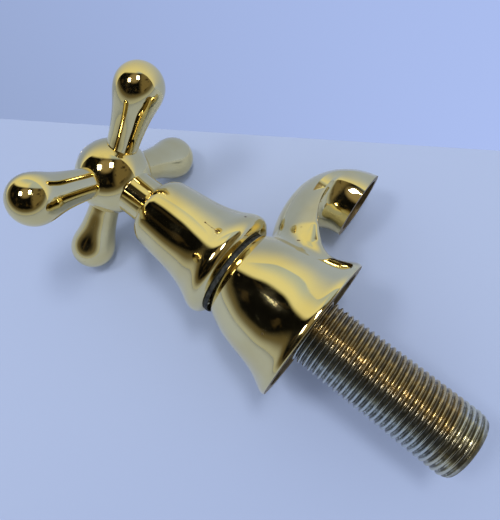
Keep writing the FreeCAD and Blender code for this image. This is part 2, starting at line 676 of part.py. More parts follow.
def make_hub():
    body = new_body("handle_hub")
    join = handle_height - root(s.hub_radius * s.hub_radius - s.neck_radius * s.neck_radius)
    turn_profile(body, "PartDesign::Revolution", "hub_turning", [
        (0, neck_foot), (s.neck_radius, neck_foot), (s.neck_radius, join),
        (s.button_radius, button_seat), (0, button_seat)],
        {2: (s.hub_radius, 1)})
    skirt_top = square_foot + s.clear_gap
    turn_profile(body, "PartDesign::Groove", "hub_bores", [
        (0, neck_foot), (skirt_bore, neck_foot), (skirt_bore, skirt_top), (0, skirt_top)])
    square = new_sketch(body, "socket_outline", "XY_Plane", {"z": neck_foot})
    draw_polygon(square, square_flats + s.running_gap * 2, 4)
    cut_down(body, "socket", square, square_top + s.clear_gap - neck_foot, True)
    screw_hole = s.screw_radius + s.clear_gap / 2
    turn_profile(body, "PartDesign::Groove", "screw_pocket", [
        (0, square_foot), (screw_hole, square_foot), (screw_hole, handle_height),
        (pocket_radius, handle_height), (pocket_radius, button_seat), (0, button_seat)])
    # Four seats for the arms: a shallow bore for the root and a threaded hole for the peg.
    seats = []
    for name, radius, floor in (
            ("arm_seat", s.arm_root + s.running_gap, arm_seat),
            ("peg_hole", s.arm_peg_radius + s.running_gap,
             arm_seat - s.arm_peg_length - s.clear_gap)):
        circle = new_sketch(body, name + "_outline", "YZ_Plane", {"z": floor})
        draw_circle(circle, radius, (0, handle_height))
        seats.append(cut_down(body, name, circle, s.hub_radius, True))
    pattern = body.newObject("PartDesign::PolarPattern", "arm_seats")
    pattern.Originals = seats
    pattern.Axis = (origin_plane(body, "Z_Axis"), [""])
    pattern.Angle = 360.0
    pattern.Occurrences = ARM_COUNT
    body.Tip = pattern
    aim(body, s.arm_turn)
    return body


def make_arm(number):
    """Turned arm, modelled along +X at the hub's height and turned to its azimuth."""
    body = new_body("handle_arm_%d" % number)
    outline = new_sketch(body, "arm_outline_%d" % number, "XZ_Plane", {"y": handle_height})
    peg_end = arm_seat - s.arm_peg_length
    draw_outline(outline, [
        (peg_end, 0), (s.arm_reach + s.arm_ball, 0), (s.arm_swell_reach, s.arm_swell),
        (s.arm_mid_reach, s.arm_mid), (s.hub_radius, s.arm_root), (arm_seat, s.arm_root),
        (arm_seat, s.arm_peg_radius), (peg_end, s.arm_peg_radius)],
        {1: (s.arm_ball, 1), 2: (s.arm_hollow_curve, -1)})
    swing(body, "PartDesign::Revolution", "arm_turning_%d" % number, outline, "H_Axis")
    aim(body, s.arm_turn + 360.0 / ARM_COUNT * (number - 1))
    return body


def make_spring_washer():
    body = new_body("spring_washer")
    inner = s.screw_radius + s.clear_gap / 2
    outer = s.screw_head_radius
    turn_profile(body, "PartDesign::Revolution", "spring_washer_turning", [
        (inner, handle_height), (outer, handle_height),
        (outer, screw_head_foot), (inner, screw_head_foot)])
    return body


def make_screw():
    body = new_body("handle_screw")
    foot = screw_head_foot - s.screw_length
    top = screw_head_foot + s.screw_head_height
    turn_profile(body, "PartDesign::Revolution", "screw_turning", [
        (0, foot), (s.screw_radius, foot), (s.screw_radius, screw_head_foot),
        (s.screw_head_radius, screw_head_foot), (s.screw_head_radius, top), (0, top)])
    slot = new_sketch(body, "slot_outline", "YZ_Plane")
    half = s.screw_slot / 2
    floor = top - s.screw_head_height / 2
    draw_outline(slot, [(-half, floor), (half, floor), (half, top), (-half, top)])
    cut_across(body, "slot", slot, s.screw_head_radius * BEYOND)
    return body


def make_button():
    body = new_body("hub_button")
    edge_top = button_seat + s.button_edge
    plug = pocket_radius - s.running_gap
    crown = edge_top + s.button_crown
    turn_profile(body, "PartDesign::Revolution", "button_turning", [
        (0, button_seat - s.button_plug), (plug, button_seat - s.button_plug),
        (plug, button_seat), (s.button_radius, button_seat), (s.button_radius, edge_top),
        (0, crown)],
        {4: (dome_radius(s.button_radius, s.button_crown), 1)})
    return body


# ---------------------------------------------------------------- build, check, write

bodies = [
    make_casting(), make_tail(), make_seal(), make_bell(),
    make_fibre_washer(), make_headgear(),
    make_gland_ring("gland_packing", packing_foot, packing_top),
    make_gland_ring("gland_washer", packing_top, gland_nut_foot),
    make_gland_nut(), make_tap_washer(), make_jumper(), make_washer_nut(), make_spindle(),
    make_hub()]
bodies += [make_arm(number) for number in range(1, ARM_COUNT + 1)]
bodies += [make_spring_washer(), make_screw(), make_button()]
doc.recompute()

failed = [item.Name for item in doc.Objects if {"Invalid", "Error"} & set(item.State)]
for body in bodies:
    if body.Shape.isNull() or not body.Shape.isValid() or len(body.Shape.Solids) != 1:
        failed.append(body.Label)
if failed:
    raise RuntimeError("not built: " + ", ".join(failed))

os.makedirs("parts", exist_ok=True)
for body in bodies:
    body.Shape.exportStep(os.path.join("parts", body.Label + ".step"))
    print("%-18s %10.1f mm3" % (body.Label, body.Shape.Volume))
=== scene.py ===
import math

import bmesh
import bpy
import numpy as np
from mathutils import Matrix


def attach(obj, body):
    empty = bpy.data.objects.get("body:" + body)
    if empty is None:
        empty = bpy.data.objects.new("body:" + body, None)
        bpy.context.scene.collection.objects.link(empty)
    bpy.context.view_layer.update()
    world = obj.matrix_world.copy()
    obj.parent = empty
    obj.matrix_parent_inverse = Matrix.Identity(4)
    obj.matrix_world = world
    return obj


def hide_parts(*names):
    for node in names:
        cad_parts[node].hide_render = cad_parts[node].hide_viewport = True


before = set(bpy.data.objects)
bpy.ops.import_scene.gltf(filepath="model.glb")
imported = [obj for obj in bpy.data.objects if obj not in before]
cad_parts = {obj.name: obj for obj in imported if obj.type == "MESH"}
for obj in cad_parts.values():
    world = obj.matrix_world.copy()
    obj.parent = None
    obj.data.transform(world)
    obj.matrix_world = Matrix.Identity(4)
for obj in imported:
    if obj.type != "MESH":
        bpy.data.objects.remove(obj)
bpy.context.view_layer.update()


# ------ body and spout
# The body is one brass casting: a foot that sits on the deck, a flared waist, a rounded shoulder
# and a short spout that runs out of it and turns down into a round nozzle. It is ground smooth,
# polished all over and lacquered. The valve chamber and the nozzle are bored out of it.

MM = 0.001
TURN_STEPS = 256

FOOT_RADIUS = 23.72
FOOT_EDGE = 0.35             # height at which the foot's rounded rim ends
SEAT_RADIUS = 23.5           # the flat seating face round the recess
RECESS_RADIUS = 20.4
RECESS_DEPTH = 1.2
SOCKET_RADIUS = 9.05         # the socket for the tail
SOCKET_TOP = 8.0
INLET_RADIUS = 6.35
VALVE_SEAT_RADIUS = 7.5
VALVE_SEAT_HEIGHT = 13.5
CHAMBER_RADIUS = 9.5
CHAMBER_FLOOR = 11.0
SPIGOT_RADIUS = 12.6         # the spigot that carries the bell
SPIGOT_TOP = 33.6
SHOULDER_RADIUS = 14.0
SHOULDER_EDGE = 28.5
SHOULDER_HEIGHT = 28.6

# The outside from the foot to the shoulder, as heights and the radii there.
BODY_HEIGHTS = [FOOT_EDGE, 1.2, 2.2, 3.4, 4.9, 7.85, 11.7, 15.4, 19.2, 23.15, 25.6, 27.4,
                SHOULDER_EDGE]
BODY_RADII = [FOOT_RADIUS, 23.68, 23.32, 22.68, 21.9, 20.65, 19.68, 18.93, 18.05, 16.65, 15.55,
              14.6, SHOULDER_RADIUS]

BACK_AXIS = (35.0, -7.4)     # reach and height of the centre of the back's arc by the body
BACK_CURVE = 40.5
NOSE_AXIS = (35.0, 10.1)     # the same for the arc over the nozzle
NOSE_CURVE = 23.0
NOSE_SWING = 86.0
ARCH_AXIS = (37.6, 0.45)     # the same for the hollow under the root
ARCH_CURVE = 22.95
BAR_RADIUS = 13.6            # radius of the spout's round section, before the hollow is cut
ROOT_GROWTH = 2.4            # what is added to that radius at the body
ROOT_FILLET = 2.8
FILLET_TOP = 28.1            # the fillet stays below this height
NOZZLE_REACH = 46.14
NOZZLE_RADIUS = 11.86
NOZZLE_BORE = 9.5
BORE_TOP = 20.0
NOZZLE_FACE = 14.03
NOZZLE_TILT = 3.0            # degrees that the nozzle's face rises towards its front
BOSS_CURVE = 16.4            # radius about the nose's axis where the nozzle's drum ends
BOSS_HOLLOW = 9.0            # radius of the hollow that leads from the drum to the underside

# The underside over the nozzle: degrees round the nose's axis and distance from it.
UNDERSIDE = [(0, 13.15), (6, 13.35), (12, 13.8), (18, 14.6), (24, 15.05), (30, 14.8), (37, 14.45),
             (50, 14.5), (63, 15.1), (75, 15.3), (88, 15.3)]


def spline_through(knots, step=0.4):
    """Natural cubic curve through the knots, over the length of the way between them.

    The second derivatives come from one linear system, as for a bent spring, and points are
    then read off about one step apart."""
    knots = np.asarray(knots, float)
    gaps = np.linalg.norm(np.diff(knots, axis=0), axis=1)
    at = np.concatenate([[0.0], np.cumsum(gaps)])
    count = len(knots)
    system = np.eye(count)
    right = np.zeros(knots.shape)
    inner = np.arange(1, count - 1)
    system[inner, inner - 1] = gaps[:-1]
    system[inner, inner] = 2 * (gaps[:-1] + gaps[1:])
    system[inner, inner + 1] = gaps[1:]
    slopes = np.diff(knots, axis=0) / gaps[:, None]
    right[inner] = 6 * np.diff(slopes, axis=0)
    bend = np.linalg.solve(system, right)
    fine = np.linspace(0.0, at[-1], int(at[-1] / step) + 2)
    span = np.clip(np.searchsorted(at, fine, side="right") - 1, 0, count - 2)
    gap = gaps[span][:, None]
    left = ((at[span + 1] - fine)[:, None]) / gap
    rest = 1.0 - left
    return (left * knots[span] + rest * knots[span + 1]
            + ((left ** 3 - left) * bend[span] + (rest ** 3 - rest) * bend[span + 1]) * gap ** 2 / 6)


def turning_line(*runs, soft=0.2, step=0.5, closed=False):
    """Joins runs of points end to end and rounds each corner between them.

    Every run gives up a length of about soft at a corner, and a parabola with the corner as
    its control point takes that place. Runs are read off about one step apart."""
    lines = []
    for run in runs:
        run = np.asarray(run, float)
        lengths = np.concatenate([[0.0], np.cumsum(np.linalg.norm(np.diff(run, axis=0), axis=1))])
        lines.append((run, lengths))
    count = len(lines)
    softs = np.broadcast_to(np.asarray(soft, float), (count,))
    pieces = []
    for index, (run, lengths) in enumerate(lines):
        before = softs[index - 1] if (closed or index > 0) else 0.0
        after = softs[index] if (closed or index < count - 1) else 0.0
        total = lengths[-1]
        start, stop = min(before, total * 0.45), total - min(after, total * 0.45)
        at = np.linspace(start, stop, max(2, int((stop - start) / step) + 1))
        pieces.append(np.stack([np.interp(at, lengths, run[:, axis]) for axis in (0, 1)], axis=1))
    line = []
    turn = np.linspace(0, 1, 7)[1:-1, None]
    for index, piece in enumerate(pieces):
        line.append(piece)
        if closed or index < count - 1:
            first, corner = piece[-1], lines[index][0][-1]
            last = pieces[(index + 1) % count][0]
            line.append(first * (1 - turn) ** 2 + 2 * corner * turn * (1 - turn) + last * turn ** 2)
    return np.concatenate(line)


def straight_runs(*corners):
    """Straight runs from each corner to the next, as pairs of points."""
    return list(zip(corners[:-1], corners[1:]))


def unit(ways):
    """The same directions with length 1."""
    return ways / np.linalg.norm(ways, axis=-1, keepdims=True)


def grid_faces(rows, columns, closed_rows, closed_columns):
    """Four-cornered faces of a grid whose points are numbered row by row."""
    row = np.arange(rows if closed_rows else rows - 1)[:, None]
    column = np.arange(columns if closed_columns else columns - 1)[None, :]
    next_row, next_column = (row + 1) % rows, (column + 1) % columns
    corners = [row * columns + column, row * columns + next_column,
               next_row * columns + next_column, next_row * columns + column]
    return np.stack([np.broadcast_to(corner, np.broadcast(row, column).shape).ravel()
                     for corner in corners], axis=1)


def add_object(name, data):
    """New object in the scene."""
    made = bpy.data.objects.new(name, data)
    bpy.context.scene.collection.objects.link(made)
    return made


def surface(name, parts, weld=0.002):
    """Mesh object from (points, faces) parts in millimetres; points closer than weld are joined.

    Faces that fold up when their points are joined are taken out, and all normals are turned
    outwards."""
    points = np.concatenate([part[0].reshape(-1, 3) for part in parts]) * MM
    offsets = np.cumsum([0] + [part[0].size // 3 for part in parts[:-1]])
    faces = np.concatenate([part[1] + offset for part, offset in zip(parts, offsets)])
    mesh = bpy.data.meshes.new(name)
    mesh.vertices.add(len(points))
    mesh.vertices.foreach_set("co", points.astype(np.float32).ravel())
    mesh.loops.add(faces.size)
    mesh.loops.foreach_set("vertex_index", faces.astype(np.int32).ravel())
    mesh.polygons.add(len(faces))
    mesh.polygons.foreach_set("loop_start", (np.arange(len(faces)) * 4).astype(np.int32))
    mesh.update(calc_edges=True)
    mesh.validate()
    tidy_mesh(mesh, weld)
    return add_object(name, mesh)


def tidy_mesh(mesh, weld):
    """Joins close points, drops faces without area and makes every normal point outwards."""
    work = bmesh.new()
    work.from_mesh(mesh)
    bmesh.ops.remove_doubles(work, verts=work.verts, dist=weld * MM)
    bmesh.ops.dissolve_degenerate(work, dist=weld * MM * 0.5, edges=work.edges)
    bmesh.ops.recalc_face_normals(work, faces=work.faces)
    for face in work.faces:
        face.smooth = True
    work.to_mesh(mesh)
    work.free()


def turned(line, steps=TURN_STEPS, closed=False):
    """Points and faces of a line of (radius, height) turned about the main axis.

    A point at radius r, height z and angle a lies at (r cos a, r sin a, z)."""
    angle = np.linspace(0, 2 * math.pi, steps, endpoint=False)
    radius, height = line[:, 0][:, None], line[:, 1][:, None]
    points = np.stack([radius * np.cos(angle), radius * np.sin(angle),
                       height + 0 * angle], axis=2)
    return points, grid_faces(len(line), steps, closed, True)


def cut_or_join(piece, tool, operation):
    """Cuts the tool out of the piece, or joins it on, and removes the tool."""
    modifier = piece.modifiers.new("work", "BOOLEAN")
    modifier.operation = operation
    modifier.object = tool
    modifier.solver = "EXACT"
    graph = bpy.context.evaluated_depsgraph_get()
    mesh = bpy.data.meshes.new_from_object(piece.evaluated_get(graph))
    piece.modifiers.clear()
    old, piece.data = piece.data, mesh
    bpy.data.meshes.remove(old)
    tool_mesh = tool.data
    bpy.data.objects.remove(tool)
    bpy.data.meshes.remove(tool_mesh)


def body_radius(height):
    """Radius of the body's outside at a height, read off a smooth curve through its radii."""
    return np.interp(height, body_outside[:, 1], body_outside[:, 0])


def half_width_at(depth, radius):
    """Half width of a round section so far below its crest: the root of twice the radius times
    the depth, less the depth squared."""
    return np.sqrt(np.clip(2 * radius * depth - depth ** 2, 0, None))


def spout_ring(depth, edge, radius):
    """Half widths and depths of the spout's sections, one row for each depth of its underside.

    From the middle of the flat underside out to its edge, round the edge by a parabola, up the
    side to the crest and back on the other side."""
    depth, edge = depth[:, None], edge[:, None]
    flat = np.linspace(0, 1, FLAT_LINES, endpoint=False)[None, :]
    bend = np.linspace(0, 1, EDGE_LINES, endpoint=False)[None, :]
    climb = np.linspace(0, math.pi / 2, CLIMB_LINES + 1)[None, ::-1]
    corner = half_width_at(depth, radius)
    top = depth - edge
    across = np.concatenate([
        (corner - edge) * flat,
        (corner - edge) * (1 - bend) ** 2 + 2 * corner * bend * (1 - bend)
        + half_width_at(top, radius) * bend ** 2,
        half_width_at(top * (1 - np.cos(climb)), radius)], axis=1)
    down = np.concatenate([
        depth + 0 * flat,
        depth * (1 - bend) ** 2 + 2 * depth * bend * (1 - bend) + top * bend ** 2,
        top * (1 - np.cos(climb))], axis=1)
    return (np.concatenate([across, -across[:, -2:0:-1]], axis=1),
            np.concatenate([down, down[:, -2:0:-1]], axis=1))


def swung(axis, across, curve, turn):
    """Points swung about an arc's centre, one turn for each row: the distance from the centre
    times the turn's sine adds to the reach, and times its cosine to the height."""
    turn = turn[:, None]
    reach = axis[0] + curve * np.sin(turn)
    return np.stack([across, -reach, axis[1] + curve * np.cos(turn)], axis=2)


def root_points(angle):
    """Points of the spout's sections towards the body, one row for each angle.

    The crest runs on the back's arc, and the underside on the arch: the distance from the
    back's centre to the arch at each angle solves the quadratic of line and circle. The
    section grows towards the body with the square of the angle."""
    offset = (ARCH_AXIS[0] - BACK_AXIS[0], ARCH_AXIS[1] - BACK_AXIS[1])
    half = offset[0] * np.sin(angle) - offset[1] * np.cos(angle)
    away = -half + np.sqrt(half ** 2 + ARCH_CURVE ** 2 - offset[0] ** 2 - offset[1] ** 2)
    edge = 0.7 + 4.8 * np.clip((angle - 0.2) / 0.5, 0, 1) ** 2
    radius = BAR_RADIUS + ROOT_GROWTH * np.clip(angle / 0.5, 0, 1)[:, None] ** 2
    across, down = spout_ring(BACK_CURVE - away, edge, radius)
    return swung(BACK_AXIS, across, BACK_CURVE - down, -angle)


def nose_points(turn):
    """Points over the nozzle: sections swung about the nose's centre.

    From the peak to the nozzle the section's radius changes evenly to the nozzle's own, so the
    back runs into the nozzle's drum."""
    share = (turn / math.radians(NOSE_SWING))[:, None]
    radius = BAR_RADIUS + (NOZZLE_RADIUS - BAR_RADIUS) * share
    away = np.interp(np.degrees(turn), underside[:, 0], underside[:, 1])
    across, down = spout_ring(NOSE_CURVE - away, np.full(len(turn), 0.8), radius)
    return swung(NOSE_AXIS, across, NOSE_CURVE - down, turn)


underside = spline_through(UNDERSIDE, 0.5)
body_outside = spline_through(np.stack([BODY_RADII, BODY_HEIGHTS], axis=1), 0.05)

# The outside, the underside with its recess, and the valve chamber as one closed line.
outside_line = turning_line(
    *straight_runs((SOCKET_RADIUS, RECESS_DEPTH), (RECESS_RADIUS, RECESS_DEPTH), (RECESS_RADIUS, 0),
                   (SEAT_RADIUS, 0), (FOOT_RADIUS, FOOT_EDGE)), body_outside,
    soft=[0.15, 0.2, 0.12, 0.12, 0.3], step=0.36)
inside_line = turning_line(
    *straight_runs((SHOULDER_RADIUS, SHOULDER_EDGE), (SHOULDER_RADIUS, SHOULDER_HEIGHT),
                   (SPIGOT_RADIUS, SHOULDER_HEIGHT), (SPIGOT_RADIUS, SPIGOT_TOP),
                   (CHAMBER_RADIUS, SPIGOT_TOP), (CHAMBER_RADIUS, CHAMBER_FLOOR),
                   (VALVE_SEAT_RADIUS, CHAMBER_FLOOR), (VALVE_SEAT_RADIUS, VALVE_SEAT_HEIGHT),
                   (INLET_RADIUS, VALVE_SEAT_HEIGHT), (INLET_RADIUS, SOCKET_TOP),
                   (SOCKET_RADIUS, SOCKET_TOP), (SOCKET_RADIUS, RECESS_DEPTH)), soft=0.12, step=1.0)
body_line = np.concatenate([outside_line, inside_line[:-1]])

# A window in the turned surface is left open for the spout, and its rim is the outer edge of
# the patch that leads into the root fillet. The line's first rows are the foot's underside.
WINDOW_LOW = 3.4
WINDOW_HIGH = 28.2
WINDOW_COLUMNS = 44
UNDERSIDE_ROWS = 40
window_rows = np.flatnonzero((outside_line[:, 1] > WINDOW_LOW) & (outside_line[:, 1] < WINDOW_HIGH)
                             & (outside_line[:, 0] > SHOULDER_RADIUS + 0.05)
                             & (np.arange(len(outside_line)) > UNDERSIDE_ROWS))
low_row, high_row = window_rows[0], window_rows[-1]

# Lines of the spout's section: over half its flat underside, round its edge and up its side.
# There are as many as points on half the window's rim.
FLAT_LINES = WINDOW_COLUMNS
EDGE_LINES = 26
CLIMB_LINES = (high_row - low_row) + WINDOW_COLUMNS - EDGE_LINES

body_points, body_faces = turned(body_line, closed=True)
# Column 0 is turned to the middle of the spout's side.
quarter = TURN_STEPS // 4
body_points = np.roll(body_points, quarter, axis=1)
face_row = body_faces[:, 0] // TURN_STEPS
face_column = (body_faces[:, 0] % TURN_STEPS + TURN_STEPS // 2) % TURN_STEPS - TURN_STEPS // 2
open_faces = ((face_row >= low_row) & (face_row < high_row)
              & (face_column >= -WINDOW_COLUMNS) & (face_column < WINDOW_COLUMNS))
body_faces = body_faces[~open_faces]

# The rim of the window as (angle, height) pairs, from the middle of its lower side round by +X.
step_angle = 2 * math.pi / TURN_STEPS
rim_rows = np.arange(low_row, high_row + 1)
rim_columns = np.arange(0, WINDOW_COLUMNS + 1)
half_rim = np.concatenate([
    np.stack([rim_columns[:-1], np.full(WINDOW_COLUMNS, low_row)], axis=1),
    np.stack([np.full(len(rim_rows) - 1, WINDOW_COLUMNS), rim_rows[:-1]], axis=1),
    np.stack([rim_columns[::-1], np.full(WINDOW_COLUMNS + 1, high_row)], axis=1)])
rim = np.concatenate([half_rim, (half_rim * [-1, 1])[-2:0:-1]])
rim_angle = rim[:, 0] * step_angle
rim_height = body_line[rim[:, 1], 1]

# Where each line of the root meets the body: halving between an angle outside and one inside.
HALVINGS = 26
outer = np.zeros(len(rim))
inner = np.full(len(rim), math.radians(50))
lines = np.arange(len(rim))
for halving in range(HALVINGS):
    middle = (outer + inner) / 2
    spots = root_points(middle)[lines, lines]
    buried = np.hypot(spots[:, 0], spots[:, 1]) < body_radius(spots[:, 2])
    inner = np.where(buried, middle, inner)
    outer = np.where(buried, outer, middle)
meeting = root_points(outer)[lines, lines]


def on_body(angle, height):
    """Points of the body's outside at angles from the spout's side and heights."""
    radius = body_radius(height)
    return np.stack([radius * np.sin(angle), -radius * np.cos(angle), height], axis=-1)


# The fillet starts on the body about its own size away from that meeting line. It is smaller
# close under the shoulder, and its size is evened out along the line.
meet_angle = np.arctan2(meeting[:, 0], -meeting[:, 1])
meet_height = meeting[:, 2]
arc = body_radius(meet_height) * meet_angle
along_arc, along_height = [np.gradient(np.concatenate([way[-3:], way, way[:3]]))[3:-3]
                           for way in (arc, meet_height)]
away = unit(np.stack([along_height, -along_arc], axis=1))
fillet = np.full(len(rim), ROOT_FILLET)
headroom = np.where(away[:, 1] > 0.05, (FILLET_TOP - 0.05 - meet_height) / np.maximum(away[:, 1], 0.05),
                    ROOT_FILLET)
fillet = np.minimum(fillet, np.maximum(headroom, 0.35))
smooth = np.ones(9) / 9
fillet = np.convolve(np.concatenate([fillet[-4:], fillet, fillet[:4]]), smooth, "valid")
foot_angle = (arc + away[:, 0] * fillet) / body_radius(meet_height)
foot_height = np.minimum(meet_height + away[:, 1] * fillet, FILLET_TOP)
fillet_foot = on_body(foot_angle, foot_height)

# Patch between the window's rim and the fillet, drawn on the body's own surface.
patch_share = np.linspace(0, 1, 15)[:, None]
patch = on_body(rim_angle * (1 - patch_share) + foot_angle * patch_share,
                rim_height * (1 - patch_share) + foot_height * patch_share)

# The fillet: cubic curves that leave the body along its surface and enter the spout's lines.
leave_angle = outer - fillet / 30.0
fillet_top = root_points(leave_angle)[lines, lines]
out_way = unit(root_points(leave_angle - 0.01)[lines, lines] - fillet_top)
nearer = on_body(foot_angle - away[:, 0] * 0.02 / body_radius(foot_height),
                 foot_height - away[:, 1] * 0.02)
in_way = unit(nearer - fillet_foot)
CURVE_PULL = 0.62            # share of the way to the meeting line that the curves start out for
in_way *= np.linalg.norm(meeting - fillet_foot, axis=1, keepdims=True) * CURVE_PULL
out_way *= np.linalg.norm(meeting - fillet_top, axis=1, keepdims=True) * CURVE_PULL
share = np.linspace(0, 1, 16)[:, None, None]
fillet_rows = (fillet_foot * (1 - share) ** 3
               + 3 * (fillet_foot + in_way) * share * (1 - share) ** 2
               + 3 * (fillet_top - out_way) * share ** 2 * (1 - share)
               + fillet_top * share ** 3)

# The rest of the root, then the nose, whose lines end below the nozzle's face.
share = np.linspace(0, 1, 40)[1:]
root_rows = np.stack([root_points(leave_angle * (1 - part))[lines, lines] for part in share])
nose_rows = nose_points(np.radians(np.linspace(0, NOSE_SWING, 64)[1:]))
tip = np.repeat(nose_rows[-1:].mean(axis=1, keepdims=True), len(rim), axis=1)
spout_rows = np.concatenate([patch, fillet_rows[1:], root_rows, nose_rows, tip])
spout_faces = grid_faces(len(spout_rows), len(rim), False, True)
casting = surface("body_and_spout", [(body_points, body_faces), (spout_rows, spout_faces)])


def tool(name, part, shift=(0, 0, 0)):
    """Object for cutting or joining, from points and faces moved by a shift in millimetres."""
    points, faces = part
    return surface(name, [(points + np.asarray(shift, float), faces)])


def drum(radius, low, high, across=False, step=1.5):
    """Round tool or boss: a line turned about the main axis, or about a level axis when across.

    A point (r, z) of the line at angle a goes to (r cos a, r sin a, z), or to (z, r cos a,
    r sin a) when the drum lies across."""
    line = turning_line(*straight_runs((0, low), (radius, low), (radius, high), (0, high)),
                        soft=0.01, step=step)
    points, faces = turned(line, 160)
    if across:
        points = np.roll(points, 1, axis=2)
    return points, faces


def face_block():
    """Block below the nozzle's face. Its top is the plane that rises from the nozzle's axis by
    the tangent of the tilt for each millimetre of reach."""
    points = np.array([(x, y, z) for x in (-20, 20) for y in (-75, -33) for z in (2, 0)], float)
    level = NOZZLE_FACE + (-points[:, 1] - NOZZLE_REACH) * math.tan(math.radians(NOZZLE_TILT))
    points[:, 2] = np.where(points[:, 2] == 0, level, points[:, 2])
    faces = np.array([(0, 1, 3, 2), (4, 6, 7, 5), (0, 4, 5, 1), (2, 3, 7, 6), (0, 2, 6, 4),
                      (1, 5, 7, 3)])
    return points, faces


# The nozzle's drum runs up into the spout and ends on an arc a little past its underside. On
# the side towards the body its wall bends outwards into the underside, by a quarter circle times
# a power of how squarely the wall faces the body.
boss_points, boss_faces = drum(NOZZLE_RADIUS, NOZZLE_FACE - 2.0, 30.0, step=0.5)
rise = np.clip(boss_points[:, :, 2] - NOZZLE_FACE - 0.4, 0, BOSS_HOLLOW)
spread = BOSS_HOLLOW - np.sqrt(BOSS_HOLLOW ** 2 - rise ** 2)
from_middle = np.hypot(boss_points[:, :, 0], boss_points[:, :, 1])
facing_body = np.clip(boss_points[:, :, 1] / np.maximum(from_middle, 0.01), 0, 1) ** 1.3
boss_points[:, :, :2] *= (1 + spread * facing_body / NOZZLE_RADIUS)[:, :, None]
boss = tool("nozzle_boss", (boss_points, boss_faces), (0, -NOZZLE_REACH, 0))
cut_or_join(boss, tool("boss_limit", drum(BOSS_CURVE, -25, 25, across=True),
                       (0, -NOSE_AXIS[0], NOSE_AXIS[1])), "INTERSECT")
cut_or_join(casting, boss, "UNION")
cut_or_join(casting, tool("face_cut", face_block()), "DIFFERENCE")
cut_or_join(casting, tool("nozzle_bore", drum(NOZZLE_BORE, 5.0, BORE_TOP), (0, -NOZZLE_REACH, 0)),
            "DIFFERENCE")
for polygon in casting.data.polygons:
    polygon.use_smooth = True
casting.data.set_sharp_from_angle(angle=math.radians(35))


def node(tree, kind, settings=None, **links):
    """Adds a shader node, sets its options, and links or sets its inputs by name."""
    made = tree.nodes.new("ShaderNode" + kind)
    for key, value in (settings or {}).items():
        setattr(made, key, value)
    for key, value in links.items():
        socket = made.inputs[int(key[1:])] if key[0] == "_" else made.inputs[key.replace("_", " ")]
        if isinstance(value, bpy.types.NodeSocket):
            tree.links.new(value, socket)
        else:
            socket.default_value = value
    return made


def blank_finish(name):
    """New material with an empty tree, its shader and the piece's own coordinates."""
    material = bpy.data.materials.new(name)
    material.use_nodes = True
    tree = material.node_tree
    tree.nodes.clear()
    shader = node(tree, "BsdfPrincipled")
    node(tree, "OutputMaterial", Surface=shader.outputs["BSDF"])
    spot = node(tree, "TexCoord").outputs["Object"]
    return material, tree, shader, spot


def mask(tree, value, low, high):
    """0 below low, 1 above high, smooth between; low above high turns it round."""
    made = node(tree, "MapRange", {"interpolation_type": "SMOOTHSTEP"}, Value=value,
                From_Min=min(low, high), From_Max=max(low, high),
                To_Min=float(low > high), To_Max=float(low < high))
    return made.outputs["Result"]


def blend_colour(tree, share, first, second):
    """The first colour where the share is 0, the second where it is 1."""
    return node(tree, "Mix", {"data_type": "RGBA"}, _0=share, _6=first, _7=second).outputs[2]


def colour_ramp(tree, value, low, high, first, second):
    """The first colour where the value is below low, the second above high, smooth between."""
    return blend_colour(tree, mask(tree, value, low, high), first, second)


def maths(tree, operation, *values, kind="Math"):
    """Result of one operation on numbers."""
    inputs = {"_%d" % index: value for index, value in enumerate(values)}
    outputs = node(tree, kind, {"operation": operation}, **inputs).outputs
    return outputs["Value" if operation in ("LENGTH", "DOT_PRODUCT") else 0]


def vectors(tree, operation, *values):
    """Result of one operation on vectors."""
    return maths(tree, operation, *values, kind="VectorMath")


def noise(tree, place, scale, detail, roughness=0.5):
    """Cloudy pattern from 0 to 1, with about so many clouds to the metre."""
    return node(tree, "TexNoise", Vector=place, Scale=scale, Detail=detail,
                Roughness=roughness).outputs["Fac"]


def drawn_noise(tree, place, scale, detail, turn=(0, 0, 0)):
    """Cloudy pattern with its own number of clouds to the metre along each axis, after a turn."""
    place = node(tree, "Mapping", Vector=place, Rotation=turn, Scale=scale).outputs[0]
    return noise(tree, place, 1.0, detail)


def give_finish(tree, shader, colour, dull, metallic=1.0):
    """Sets the shader's colour, roughness and share of metal."""
    tree.links.new(colour, shader.inputs["Base Color"])
    tree.links.new(dull, shader.inputs["Roughness"])
    shader.inputs["Metallic"].default_value = metallic


def raise_surface(tree, shader, height, strength, distance, **under):
    """Bump of so many metres for the height's full range, on top of another if one is given."""
    bump = node(tree, "Bump", Height=height, Strength=strength, Distance=distance, **under)
    tree.links.new(bump.outputs[0], shader.inputs["Normal"])


def scratch(tree, spot, start, end, width):
    """1 on a scratch between two points in millimetres, and 0 off it.

    The distance from its line is the length of the cross product of the line's direction with
    the way from its middle, and the dot product of the two is the distance along it."""
    start, end = np.array(start) * MM, np.array(end) * MM
    half = np.linalg.norm(end - start) / 2
    way = tuple(unit(end - start))
    offset = vectors(tree, "SUBTRACT", spot, tuple((start + end) / 2))
    beside = vectors(tree, "LENGTH", vectors(tree, "CROSS_PRODUCT", offset, way))
    beyond = maths(tree, "ABSOLUTE", vectors(tree, "DOT_PRODUCT", offset, way))
    return maths(tree, "MULTIPLY", mask(tree, beside, width * MM, width * MM * 0.45),
                 mask(tree, beyond, half + width * MM, half))


